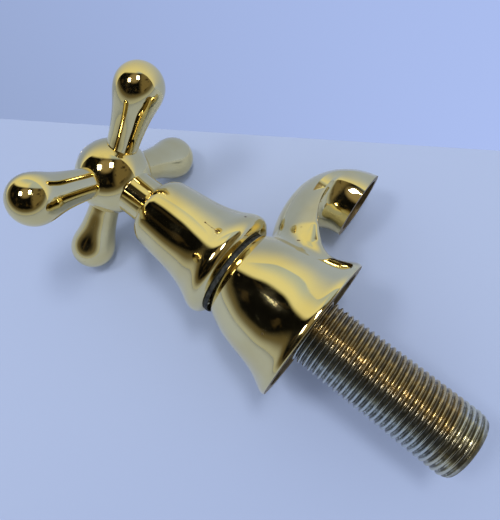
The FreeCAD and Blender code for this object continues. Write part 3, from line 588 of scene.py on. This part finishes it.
def lacquered_brass(name, shift, wear=1.0, scratches=()):
    """Polished brass under clear lacquer: pale gold with slow changes of tone, the gentle waves
    of hand polishing, a fine haze, short hairline scratches, and small brown specks where the
    lacquer has let go."""
    material, tree, shader, spot = blank_finish(name)
    place = node(tree, "Mapping", Vector=spot, Location=shift).outputs[0]
    tone = noise(tree, place, 55.0, 3.0)
    gold = colour_ramp(tree, tone, 0.35, 0.68, (0.84, 0.71, 0.36, 1), (0.79, 0.64, 0.29, 1))
    ragged = node(tree, "TexNoise", Vector=place, Scale=900.0, Detail=2.0).outputs["Color"]
    shaken = vectors(tree, "MULTIPLY_ADD", ragged, (0.0006, 0.0006, 0.0006), place)
    cells = node(tree, "TexVoronoi", Vector=shaken, Scale=230.0)
    chance = node(tree, "SeparateColor", Color=cells.outputs["Color"]).outputs[0]
    speck = maths(tree, "MULTIPLY", mask(tree, cells.outputs["Distance"], 0.13, 0.07),
                  mask(tree, chance, 0.80, 0.86))
    speck = maths(tree, "MULTIPLY", speck, mask(tree, noise(tree, place, 75.0, 1.0), 0.46, 0.58))
    uneven = vectors(tree, "MULTIPLY_ADD", ragged, (0.0003, 0.0003, 0.0003), spot)
    for start, end, width in scratches:
        speck = maths(tree, "MAXIMUM", speck, scratch(tree, uneven, start, end, width))
    colour = blend_colour(tree, maths(tree, "MULTIPLY", speck, 0.85 * wear), gold,
                          (0.16, 0.08, 0.03, 1))
    haze = noise(tree, place, 130.0, 5.0, 0.62)
    lines = drawn_noise(tree, place, (1600.0, 60.0, 260.0), 1.5, (0.5, 0.3, 0.9))
    hairline = maths(tree, "MULTIPLY", mask(tree, lines, 0.66, 0.72), mask(tree, haze, 0.45, 0.6))
    dull = maths(tree, "MULTIPLY_ADD", mask(tree, haze, 0.42, 0.75), 0.10 * wear, 0.045)
    dull = maths(tree, "MAXIMUM", dull, maths(tree, "MULTIPLY", speck, 0.55))
    dull = maths(tree, "MAXIMUM", dull, maths(tree, "MULTIPLY", hairline, 0.22 * wear))
    give_finish(tree, shader, colour, dull)
    shader.inputs["Coat Weight"].default_value = 0.12
    shader.inputs["Coat Roughness"].default_value = 0.05
    waves = node(tree, "Bump", Height=noise(tree, place, 62.0, 1.0), Strength=1.0, Distance=0.00022)
    height = maths(tree, "SUBTRACT", maths(tree, "MULTIPLY", haze, 0.25), speck)
    raise_surface(tree, shader, height, 0.06 * wear, 0.0002, Normal=waves.outputs[0])
    return material


def set_in_place(piece, material, body, slot, *nodes):
    """Gives the piece its finish and its body and hides the CAD nodes it stands for; the slot is not used.
    """
    piece.data.materials.clear()
    piece.data.materials.append(material)
    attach(piece, body)
    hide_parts(*nodes)


def raw_brass(name):
    """Brass as cast and bored, never polished: dull, pitted and uneven, its dark brown partly its own
    colour and partly painted shade.
    """
    material, tree, shader, spot = blank_finish(name)
    tone = noise(tree, spot, 260.0, 5.0, 0.65)
    colour = colour_ramp(tree, tone, 0.3, 0.7, (0.20, 0.15, 0.08, 1), (0.36, 0.27, 0.14, 1))
    give_finish(tree, shader, colour, maths(tree, "MULTIPLY_ADD", tone, 0.3, 0.35))
    raise_surface(tree, shader, tone, 0.5, 0.0001)
    return material


# Small pits and knocks under the bell and by the spout's root, each from one point to another
# and so wide, in millimetres.
casting_marks = [((-14.3, 6.6, 24.9), (-14.6, 6.8, 24.4), 0.3),
                 ((-13.2, -13.6, 19.2), (-13.3, -13.9, 18.6), 0.35),
                 ((-12.2, -15.3, 17.6), (-12.3, -15.5, 17.2), 0.3),
                 ((-14.6, -12.8, 17.0), (-14.8, -12.7, 16.2), 0.28)]
set_in_place(casting, lacquered_brass("casting_brass", (0, 0, 0), 1.0, casting_marks), "tap",
             "lacquered_brass", "body_casting")

# The underside of the foot, the chamber and the inside of the nozzle are never polished, and their dark
# brown is partly painted shade.
casting.data.materials.append(raw_brass("casting_inside_painted_shade"))
middles = np.zeros(len(casting.data.polygons) * 3)
casting.data.polygons.foreach_get("center", middles)
middles = middles.reshape(-1, 3) / MM
level = middles[:, 2]
from_axis = np.hypot(middles[:, 0], middles[:, 1])
from_nozzle = np.hypot(middles[:, 0], middles[:, 1] + NOZZLE_REACH)
under_foot = (level < 0.05) | ((level < RECESS_DEPTH + 0.05) & (from_axis < RECESS_RADIUS + 0.1))
in_chamber = (from_axis < CHAMBER_RADIUS + 0.15) & (level < SPIGOT_TOP - 0.1)
in_nozzle = (from_nozzle < NOZZLE_BORE + 0.05) & (level < BORE_TOP + 0.1) & (level > NOZZLE_FACE - 4)
unpolished_and_shaded = under_foot | in_chamber | in_nozzle
casting.data.polygons.foreach_set("material_index", unpolished_and_shaded.astype(np.int32))


# ------ threaded tail
# A brass tube screwed into the body, with a G 1/2 pipe thread cut along it from the foot to its
# rounded end. It goes through the deck and takes the backnut and the tap connector.

PITCH = 1.814
THREAD_RADIUS = 10.4775
THREAD_DEPTH = 0.9
THREAD_TOP = 1.15
TAIL_END = -51.4
TAIL_POINT = 9.6             # radius of the end's flat face
TAIL_ROUND = 2.8             # length over which the end is rounded
TAIL_BORE = 7.0
TAIL_PLUG = 9.0              # radius of the part inside the body
TAIL_TOP = 8.0
# The tail's browner side is painted reflection, not tarnish.
PAINTED_REFLECTION_SIDE = (-0.558, -0.830, 0.0)     # direction of the tail's browner side


def thread_points(columns=112, per_pitch=20):
    """Points of the thread: a groove is repeated along the tail and sheared so that one turn
    round the axis moves it by one pitch.

    The groove's depth is half of one less the cosine of a share that grows evenly from the crest
    to the floor, so both are round. The radius is the smaller of the thread's and of an end
    rounded by a power curve."""
    turns = int((THREAD_TOP - TAIL_END) / PITCH) + 3
    rows = np.arange(turns * per_pitch + 1)
    angle = np.linspace(0, 2 * math.pi, columns + 1)
    raw = (rows / per_pitch * PITCH + TAIL_END - PITCH)[:, None] + PITCH * angle / (2 * math.pi)
    away = np.abs((rows % per_pitch) / per_pitch - 0.5) * 2
    share = (1 - np.cos(math.pi * np.clip(1.06 - away * 1.12, 0, 1))) / 2
    height = np.clip(raw, TAIL_END, THREAD_TOP)
    rounding = np.clip((TAIL_END + TAIL_ROUND - height) / TAIL_ROUND, 0, 1) ** 1.7
    end = THREAD_RADIUS - (THREAD_RADIUS - TAIL_POINT) * rounding
    radius = np.minimum(THREAD_RADIUS - THREAD_DEPTH * share[:, None], end)
    fade = np.clip((THREAD_TOP - height) / 0.9, 0, 1)
    radius = TAIL_POINT + (radius - TAIL_POINT) * fade
    return np.stack([radius * np.cos(angle), radius * np.sin(angle), height], axis=2)


thread = thread_points()
thread_part = (thread, grid_faces(thread.shape[0], thread.shape[1], False, False))
tail_line = turning_line(
    *straight_runs((TAIL_POINT, TAIL_END), (TAIL_BORE, TAIL_END), (TAIL_BORE, TAIL_TOP),
                   (TAIL_PLUG, TAIL_TOP), (TAIL_PLUG, THREAD_TOP), (TAIL_POINT, THREAD_TOP)),
    soft=0.18, step=0.8)
tail = surface("threaded_tail_piece", [thread_part, turned(tail_line, 112)])
tail.data.set_sharp_from_angle(angle=math.radians(60))


def cut_brass():
    """Unlacquered thread: painted reflection, olive brown on one side and silvery on the other and
    paler on its last turns, with fine tool rings and patchy dark, dull patches down in the grooves."""
    material, tree, shader, spot = blank_finish("cut_thread_brass")
    tone = noise(tree, spot, 160.0, 4.0)
    parts = node(tree, "SeparateXYZ", Vector=spot)
    flat = node(tree, "CombineXYZ", X=parts.outputs[0], Y=parts.outputs[1])
    from_axis = vectors(tree, "LENGTH", flat.outputs[0])
    # Painted reflection: olive brown on one side of the thread and silvery grey on the other.
    towards = vectors(tree, "DOT_PRODUCT", flat.outputs[0], PAINTED_REFLECTION_SIDE)
    painted_reflection_mix = maths(tree, "MULTIPLY_ADD", tone, 0.004, towards)
    colour = colour_ramp(tree, painted_reflection_mix, 0.0, 0.006, (0.60, 0.62, 0.56, 1), (0.58, 0.44, 0.22, 1))
    # Painted reflection: paler on the last turns towards the end.
    colour = colour_ramp(tree, parts.outputs[2], -0.0425, -0.0445, colour, (0.66, 0.62, 0.46, 1))
    colour = blend_colour(tree, maths(tree, "MULTIPLY", mask(tree, tone, 0.5, 0.75), 0.35), colour,
                          (0.28, 0.22, 0.13, 1))
    # Darker, duller patches down in the grooves.
    root = mask(tree, from_axis, 0.01025, 0.00985)
    groove_darkening = maths(tree, "MULTIPLY", root, mask(tree, noise(tree, spot, 420.0, 3.0), 0.2, 0.6))
    colour = blend_colour(tree, maths(tree, "MULTIPLY", groove_darkening, 0.8), colour, (0.09, 0.085, 0.07, 1))
    rings = drawn_noise(tree, spot, (60.0, 60.0, 9000.0), 2.0)
    dull = maths(tree, "MULTIPLY_ADD", rings, 0.12, 0.07)
    give_finish(tree, shader, colour, maths(tree, "MULTIPLY_ADD", groove_darkening, 0.25, dull))
    raise_surface(tree, shader, rings, 0.25, 0.00003)
    return material


set_in_place(tail, cut_brass(), "tap", "raw_brass", "threaded_tail")


# ------ seal ring
# A grey rubber ring between body and bell, notched round its outer face. It sits a little off
# centre, so it shows on one side only.

SEAL_MIDDLE = (0.40, 0.93)
SEAL_INNER = 13.7
SEAL_OUTER = 14.2
SEAL_FOOT = 28.62
SEAL_TOP = 29.98
SEAL_NOTCHES = 84
NOTCH_DEPTH = 0.16


def seal_points(columns=840):
    """Ring of an upright section, its outer face dented at each notch by the notch's depth
    times a narrow bump round the ring and a wide one up the face."""
    line = turning_line(
        *straight_runs((SEAL_INNER, SEAL_FOOT), (SEAL_OUTER, SEAL_FOOT), (SEAL_OUTER, SEAL_TOP),
                       (SEAL_INNER, SEAL_TOP), (SEAL_INNER, SEAL_FOOT)),
        soft=0.2, step=0.14, closed=True)
    angle = np.linspace(0, 2 * math.pi, columns, endpoint=False)
    outside = np.clip((line[:, 0] - (SEAL_OUTER - 0.2)) / 0.2, 0, 1)
    from_middle = np.abs(line[:, 1] - (SEAL_FOOT + SEAL_TOP) / 2)
    face = outside * np.clip(1.3 - from_middle / 0.45, 0, 1)
    notch = np.clip(np.cos(angle * SEAL_NOTCHES) - 0.2, 0, 1)
    radius = line[:, 0][:, None] - NOTCH_DEPTH * face[:, None] * notch[None, :]
    return np.stack([radius * np.cos(angle) + SEAL_MIDDLE[0], radius * np.sin(angle) + SEAL_MIDDLE[1],
                     line[:, 1][:, None] + 0 * radius], axis=2)


seal_grid = seal_points()
seal = surface("seal_ring_piece", [(seal_grid, grid_faces(*seal_grid.shape[:2], True, True))], 0.001)


def rubber(name, dark, pale, scale):
    """Moulded rubber: matt, slightly mottled, with a dusty bloom."""
    material, tree, shader, spot = blank_finish(name)
    tone = noise(tree, spot, scale, 5.0)
    colour = colour_ramp(tree, tone, 0.35, 0.7, dark, pale)
    give_finish(tree, shader, colour, maths(tree, "MULTIPLY_ADD", tone, 0.3, 0.45), 0.0)
    shader.inputs["Specular IOR Level"].default_value = 0.25
    raise_surface(tree, shader, tone, 0.3, 0.00005)
    return material


set_in_place(seal, rubber("grey_seal_rubber", (0.016, 0.018, 0.018, 1), (0.055, 0.06, 0.055, 1), 900.0),
             "tap", "grey_rubber", "bell_seal_ring")


# ------ bell
# The cover that hides the headgear, pressed and spun from brass and screwed down on the body:
# a rolled bead at its foot, a hollow flare and a coned top with a hole for the handle's neck.

BELL_FOOT = 30.0
BELL_FOOT_RADIUS = 15.4
BELL_BORE = 12.65            # the bore that screws on the body's spigot
BELL_BORE_TOP = 35.6

bell_outside = spline_through([
    (15.95, 30.35), (17.15, 31.3), (17.75, 32.6), (17.72, 33.9), (17.15, 35.6), (16.05, 37.9),
    (14.75, 41.3), (13.65, 45.4), (12.92, 50.0), (12.35, 55.0), (11.92, 58.9), (11.68, 60.9)], 0.3)
bell_inside = spline_through([(11.4, 50.0), (12.2, 45.4), (13.3, 41.3), (14.7, 37.5),
                              (15.5, BELL_BORE_TOP)])
bell_line = turning_line(
    *straight_runs((BELL_BORE, BELL_FOOT), (BELL_FOOT_RADIUS, BELL_FOOT), (15.95, 30.35)), bell_outside,
    *straight_runs((11.68, 60.9), (10.75, 62.55), (7.7, 65.0), (7.7, 63.1), (10.2, 59.3), (11.4, 50.0)),
    bell_inside,
    *straight_runs((15.5, BELL_BORE_TOP), (BELL_BORE, BELL_BORE_TOP), (BELL_BORE, BELL_FOOT)),
    soft=[0.25, 0.3, 0.9, 0.45, 0.22, 0.2, 0.2, 0.2, 0.2, 0.2, 0.2], step=0.34, closed=True)
bell = surface("bell_piece", [turned(bell_line, closed=True)])
bell_marks = [((-14.32, 0.11, 42.86), (-16.36, 1.07, 37.18), 0.32)]
set_in_place(bell, lacquered_brass("bell_brass", (0.31, 0.17, 0.05), 1.15, bell_marks), "tap",
             "lacquered_brass", "bell_cover")


# ------ headgear
# Under the bell a turned brass headgear holds the spindle. It seats on a red fibre washer, and
# a gland nut presses graphite packing round the spindle so that no water climbs past it.

def turned_brass(name):
    """Machined brass: fine rings from the tool and a slow change of tone."""
    material, tree, shader, spot = blank_finish(name)
    tone = noise(tree, spot, 220.0, 3.0)
    colour = colour_ramp(tree, tone, 0.3, 0.7, (0.80, 0.64, 0.34, 1), (0.66, 0.50, 0.24, 1))
    rings = drawn_noise(tree, spot, (40.0, 40.0, 7000.0), 2.0)
    give_finish(tree, shader, colour, maths(tree, "MULTIPLY_ADD", rings, 0.2, 0.16))
    raise_surface(tree, shader, rings, 0.3, 0.00003)
    return material


def finish_node(name, material):
    """A CAD node that keeps its own shape gets its material."""
    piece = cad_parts[name]
    piece.data.materials.clear()
    piece.data.materials.append(material)


machined = turned_brass("machined_brass")
for name in ("headgear_body", "gland_nut", "gland_washer"):
    finish_node(name, machined)
finish_node("headgear_washer", rubber("red_fibre", (0.30, 0.07, 0.04, 1), (0.48, 0.15, 0.09, 1), 700.0))
finish_node("gland_packing",
            rubber("graphite_packing", (0.02, 0.02, 0.022, 1), (0.09, 0.09, 0.1, 1), 1200.0))


# ------ valve
# The jumper carries a rubber washer, held by a small nut, down on the seat. It rides in the
# spindle's foot and rises with it.

for name in ("jumper", "washer_nut"):
    finish_node(name, machined)
finish_node("tap_washer", rubber("black_rubber", (0.015, 0.015, 0.015, 1), (0.05, 0.05, 0.05, 1), 800.0))


# ------ spindle
# The turned spindle climbs in the headgear's thread as the handle turns it, and takes the valve
# up with it. Its square top carries the handle.

finish_node("spindle", machined)


# ------ handle hub
# A brass ball on a straight neck, turned in one piece, that drops over the spindle's square.
# The neck meets the ball in a clean corner and slides in the bell's hole.

HUB_HEIGHT = 82.6
HUB_RADIUS = 12.4
NECK_RADIUS = 7.28
NECK_FOOT = 57.5
NECK_BORE = 5.7
SQUARE_HOLE = 3.3            # the hole for the spindle's square
SQUARE_HOLE_FOOT = 66.3
SQUARE_HOLE_TOP = 80.3
SCREW_HOLE = 2.15
POCKET_RADIUS = 4.6          # the pocket for the screw, under the button
BUTTON_RADIUS = 6.4

join_angle = math.asin(NECK_RADIUS / HUB_RADIUS)
crown_angle = math.asin(BUTTON_RADIUS / HUB_RADIUS)
ball_angle = np.linspace(-math.pi / 2 + join_angle, math.pi / 2 - crown_angle, 120)
ball_line = np.stack([HUB_RADIUS * np.cos(ball_angle),
                      HUB_HEIGHT + HUB_RADIUS * np.sin(ball_angle)], axis=1)
crown_height = ball_line[-1, 1]
hub_line = turning_line(
    [(NECK_RADIUS, NECK_FOOT), (NECK_RADIUS, ball_line[0, 1])], ball_line,
    *straight_runs((BUTTON_RADIUS, crown_height), (POCKET_RADIUS, crown_height),
                   (POCKET_RADIUS, HUB_HEIGHT), (SCREW_HOLE, HUB_HEIGHT), (SCREW_HOLE, SQUARE_HOLE_TOP),
                   (SQUARE_HOLE, SQUARE_HOLE_TOP), (SQUARE_HOLE, SQUARE_HOLE_FOOT),
                   (NECK_BORE, SQUARE_HOLE_FOOT), (NECK_BORE, NECK_FOOT), (NECK_RADIUS, NECK_FOOT)),
    soft=[0.22, 0.12, 0.1, 0.1, 0.1, 0.1, 0.1, 0.1, 0.1, 0.15, 0.2], step=0.4, closed=True)
hub = surface("hub_piece", [turned(hub_line, 224, closed=True)])
set_in_place(hub, lacquered_brass("hub_brass", (0.11, 0.42, 0.23)), "handle", "lacquered_brass",
             "handle_hub")


# ------ handle arms
# Four turned brass arms screwed into the hub at right angles. Each swells from a slim root in a
# shallow hollow to a ball end.

ARM_TURN = 30.5
BALL_REACH = 31.7
BALL_RADIUS = 7.7
ARM_ROOT = 10.9              # distance from the axis where the arm leaves the hub

past_pole = np.radians(np.arange(0, 121, 12))
arm_knots = np.concatenate([
    [(ARM_ROOT, 4.9), (12.2, 5.0), (14.5, 5.12), (18.0, 5.42), (22.0, 5.92), (25.0, 6.5),
     (27.2, 7.04), (29.4, 7.52)],
    np.stack([BALL_REACH + BALL_RADIUS * np.sin(past_pole), BALL_RADIUS * np.cos(past_pole)], axis=1)])
arm_curve = spline_through(arm_knots, 0.3)
arm_curve = arm_curve[:np.flatnonzero(arm_curve[:, 1] <= 0.05)[0]]
arm_line = np.concatenate([[(ARM_ROOT, 0.0)], arm_curve, [(BALL_REACH + BALL_RADIUS, 0.0)]])


def arm_points(line, azimuth, steps=144):
    """The arm's line of (distance, radius) turned about a level axis through the hub's middle
    that points in the azimuth's direction."""
    angle = np.linspace(0, 2 * math.pi, steps, endpoint=False)
    along = line[:, 0][:, None] + 0 * angle
    side = line[:, 1][:, None] * np.cos(angle)
    up = line[:, 1][:, None] * np.sin(angle)
    turn = math.radians(azimuth)
    return np.stack([along * math.cos(turn) - side * math.sin(turn),
                     along * math.sin(turn) + side * math.cos(turn), HUB_HEIGHT + up], axis=2)


for number in range(1, 5):
    points = arm_points(arm_line, ARM_TURN + 90 * (number - 1))
    arm = surface("arm_piece_%d" % number, [(points, grid_faces(*points.shape[:2], False, True))])
    finish = lacquered_brass("arm_brass_%d" % number, (0.07 * number, 0.2, 0.13 * number), 0.8)
    set_in_place(arm, finish, "handle", "lacquered_brass", "handle_arm_%d" % number)


# ------ handle fixing and button
# A steel screw and its spring washer pull the hub down on the spindle. A plain domed brass
# button closes the pocket over them.

def plain_steel(name):
    """Zinc-bright steel with a fine mottle."""
    material, tree, shader, spot = blank_finish(name)
    tone = noise(tree, spot, 700.0, 3.0)
    colour = blend_colour(tree, tone, (0.52, 0.52, 0.53, 1), (0.68, 0.68, 0.67, 1))
    give_finish(tree, shader, colour, maths(tree, "MULTIPLY_ADD", tone, 0.2, 0.2))
    return material


steel = plain_steel("screw_steel")
for name in ("handle_screw", "spring_washer"):
    finish_node(name, steel)

BUTTON_EDGE = 0.15
BUTTON_RISE = 1.65
BUTTON_PLUG = 4.55           # radius and length of the plug that holds it in the pocket
BUTTON_PLUG_LENGTH = 3.0

# The dome is a cap of the sphere that rises so much over the button's radius.
dome = np.linspace(1, 0, 14)
dome_radius = (BUTTON_RADIUS ** 2 + BUTTON_RISE ** 2) / (2 * BUTTON_RISE)
dome_line = np.stack([BUTTON_RADIUS * dome, crown_height + BUTTON_EDGE + BUTTON_RISE - dome_radius
                      + np.sqrt(dome_radius ** 2 - (BUTTON_RADIUS * dome) ** 2)], axis=1)
plug_foot = crown_height - BUTTON_PLUG_LENGTH
button_line = turning_line(
    *straight_runs((0.0, plug_foot), (BUTTON_PLUG, plug_foot), (BUTTON_PLUG, crown_height),
                   (BUTTON_RADIUS, crown_height), (BUTTON_RADIUS, crown_height + BUTTON_EDGE)), dome_line,
    soft=[0.1, 0.1, 0.06, 0.06, 0.1], step=0.35)
button = surface("button_piece", [turned(button_line, 144)])
set_in_place(button, lacquered_brass("button_brass", (0.5, 0.12, 0.4), 0.7), "handle",
             "lacquered_brass", "hub_button")


# ------ table, light and view
# The tap lies on a plain pale table, on two of the handle's balls and the edge of its foot.
# A large soft lamp and a smaller one stand beside the camera.

camera_right = np.array([-0.08657, -0.62621, -0.77484])
camera_up = -np.array([0.44965, 0.66947, -0.59129])
camera_back = -np.array([0.88900, -0.39959, 0.22362])
camera_place = np.array([-137.852, 56.367, -5.933]) * MM
table_up = unit(np.array([-0.965, 0.2496, 0.0773]))
TABLE_DROP = 23.75 * MM      # from the origin down to the table
TABLE_SIZE = 1.6
LAMP_DISTANCE = 0.75
AIR = (0.42, 0.50, 0.76, 1)  # what the view shows past the boards


def turned_to(direction, towards_top, place):
    """Matrix of an object whose +Z points along direction and whose +Y leans to towards_top."""
    up_axis = unit(direction)
    side = unit(np.cross(towards_top, up_axis))
    top = np.cross(up_axis, side)
    matrix = np.eye(4)
    matrix[:3, 0], matrix[:3, 1], matrix[:3, 2], matrix[:3, 3] = side, top, up_axis, place
    return Matrix(matrix.tolist())


def board(name, width, length, matrix):
    """Flat stage board, twice as wide and long as told, with its material still to be made."""
    mesh = bpy.data.meshes.new(name)
    mesh.from_pydata([(-width, -length, 0), (width, -length, 0), (width, length, 0),
                      (-width, length, 0)], [], [(0, 1, 2, 3)])
    made = add_object(name, mesh)
    made.matrix_world = matrix
    material, tree, shader, spot = blank_finish(name + "_paper")
    made.data.materials.append(material)
    return made, tree, shader, spot


def show_from_front(tree, surface_output):
    """Links a board's surface to the output on its front and makes its back clear."""
    hidden = node(tree, "BsdfTransparent")
    side = node(tree, "NewGeometry").outputs["Backfacing"]
    choice = node(tree, "MixShader", _0=side, _1=surface_output, _2=hidden.outputs[0])
    output = next(item for item in tree.nodes if item.type == "OUTPUT_MATERIAL")
    tree.links.new(choice.outputs[0], output.inputs["Surface"])


table, paper, shader, spot = board("table", TABLE_SIZE, TABLE_SIZE,
                                   turned_to(table_up, camera_up, -table_up * TABLE_DROP))
mottle = colour_ramp(paper, noise(paper, spot, 3.0, 2.0), 0.3, 0.7,
                     (0.47, 0.56, 0.80, 1), (0.43, 0.52, 0.77, 1))
paper.links.new(mottle, shader.inputs["Base Color"])
shader.inputs["Roughness"].default_value = 0.9
shader.inputs["Specular IOR Level"].default_value = 0.1
show_from_front(paper, shader.outputs[0])

# The table's sheet folds up into a low wall behind the tap, along a line through fold_place.
# Only the view and the metal see the wall.
WALL_HEIGHT = 90 * MM
fold_place = np.array([15.3, -55.9, 67.7]) * MM
fold_way = np.array([-0.191, -0.473, -0.861])
wall_front = unit(np.cross(fold_way, table_up))
wall_front *= -np.sign(wall_front @ fold_place)
wall_middle = fold_place + table_up * WALL_HEIGHT / 2
wall, paper, shader, spot = board("wall", TABLE_SIZE, WALL_HEIGHT / 2,
                                  turned_to(wall_front, table_up, wall_middle))
wall.visible_diffuse = False
wall.visible_shadow = False

# It glows with painted light: pale blue, darker to the left and brighter to the right, fading into the
# air's colour for the view and into a painted lamplit cream reflection for the metal towards its top.
across, upright = node(paper, "SeparateXYZ", Vector=spot).outputs[:2]
pale = colour_ramp(paper, across, -0.14, 0.14, (0.31, 0.39, 0.62, 1), (0.42, 0.53, 0.90, 1))
for_metal = colour_ramp(paper, upright, -0.010, 0.043, pale, (0.80, 0.79, 0.56, 1))
for_view = colour_ramp(paper, upright, 0.020, 0.044, pale, AIR)
painted_wall_glow = blend_colour(paper, node(paper, "LightPath").outputs["Is Camera Ray"], for_metal, for_view)
show_from_front(paper, node(paper, "Emission", Strength=1.0, Color=painted_wall_glow).outputs[0])


def lamp(name, direction, width, height, power, colour):
    """Soft rectangular lamp that shines on the tap from a direction."""
    light = bpy.data.lights.new(name, "AREA")
    light.shape = "RECTANGLE"
    light.size, light.size_y = width, height
    light.energy = power
    light.color = colour
    add_object(name, light).matrix_world = turned_to(direction, camera_up, unit(direction) * LAMP_DISTANCE)


def seen_from(right, up, back):
    """Direction in the object's frame from parts along the camera's right, up and back."""
    return camera_right * right + camera_up * up + camera_back * back


lamp("window_lamp", seen_from(0.05, 0.42, 0.90), 0.12, 0.19, 1.5, (1.0, 0.98, 0.94))
lamp("side_lamp", seen_from(-0.514, 0.285, 0.809), 0.13, 0.17, 0.9, (1.0, 0.98, 0.95))

# What the metal reflects: a dark room behind the camera, brown to the right, with a glow overhead
# and a grey band down by the table. Over it is a cream wall that fades to the table's pale blue.
world = bpy.data.worlds.new("room")
world.use_nodes = True
room = world.node_tree
room.nodes.clear()
direction = node(room, "TexCoord").outputs["Generated"]


def along(axis):
    """Cosine between the ray's direction and an axis."""
    return vectors(room, "DOT_PRODUCT", direction, tuple(float(value) for value in axis))


upwards, rightwards = along(camera_up), along(camera_right)
above_table = along(table_up)
clutter = noise(room, direction, 3.2, 2.5)
deep = colour_ramp(room, rightwards, 0.16, 0.44, (0.003, 0.003, 0.003, 1), (0.17, 0.14, 0.075, 1))
deep = colour_ramp(room, clutter, 0.54, 0.66, deep, (0.035, 0.026, 0.014, 1))
overhead = maths(room, "MULTIPLY", mask(room, above_table, 0.90, 0.985), 0.7)
deep = blend_colour(room, overhead, deep, (0.42, 0.35, 0.22, 1))
near_table = colour_ramp(room, above_table, 0.02, 0.30, (0.42, 0.47, 0.52, 1), (0.12, 0.105, 0.065, 1))
deep = colour_ramp(room, above_table, 0.28, 0.48, near_table, deep)
unlit = maths(room, "MAXIMUM", mask(room, upwards, 0.76, 0.97), mask(room, rightwards, -0.12, 0.18))
around = blend_colour(room, unlit, (0.84, 0.82, 0.54, 1), (0.46, 0.57, 0.76, 1))
gloom = colour_ramp(room, upwards, 0.60, 0.70, deep, around)

# Metal sees that room, dull surfaces are lit by a plain white sky, and the view sees the air.
rays = node(room, "LightPath")
for_metal = node(room, "Background", Color=gloom, Strength=1.0)
for_dull = node(room, "Background", Color=(0.92, 0.95, 1.0, 1), Strength=0.62)
for_view = node(room, "Background", Color=AIR, Strength=1.0)
first = node(room, "MixShader", _0=rays.outputs["Is Glossy Ray"], _1=for_dull.outputs[0],
             _2=for_metal.outputs[0])
second = node(room, "MixShader", _0=rays.outputs["Is Camera Ray"], _1=first.outputs[0],
              _2=for_view.outputs[0])
node(room, "OutputWorld", Surface=second.outputs[0])
bpy.context.scene.world = world

camera_data = bpy.data.cameras.new("view")
camera_data.sensor_width = 36.0
camera_data.lens = 34.353
camera_data.clip_start, camera_data.clip_end = 0.005, 10.0
camera = add_object("view", camera_data)
camera.matrix_world = turned_to(camera_back, camera_up, camera_place)
bpy.context.scene.camera = camera
bpy.context.scene.view_settings.view_transform = "Standard"
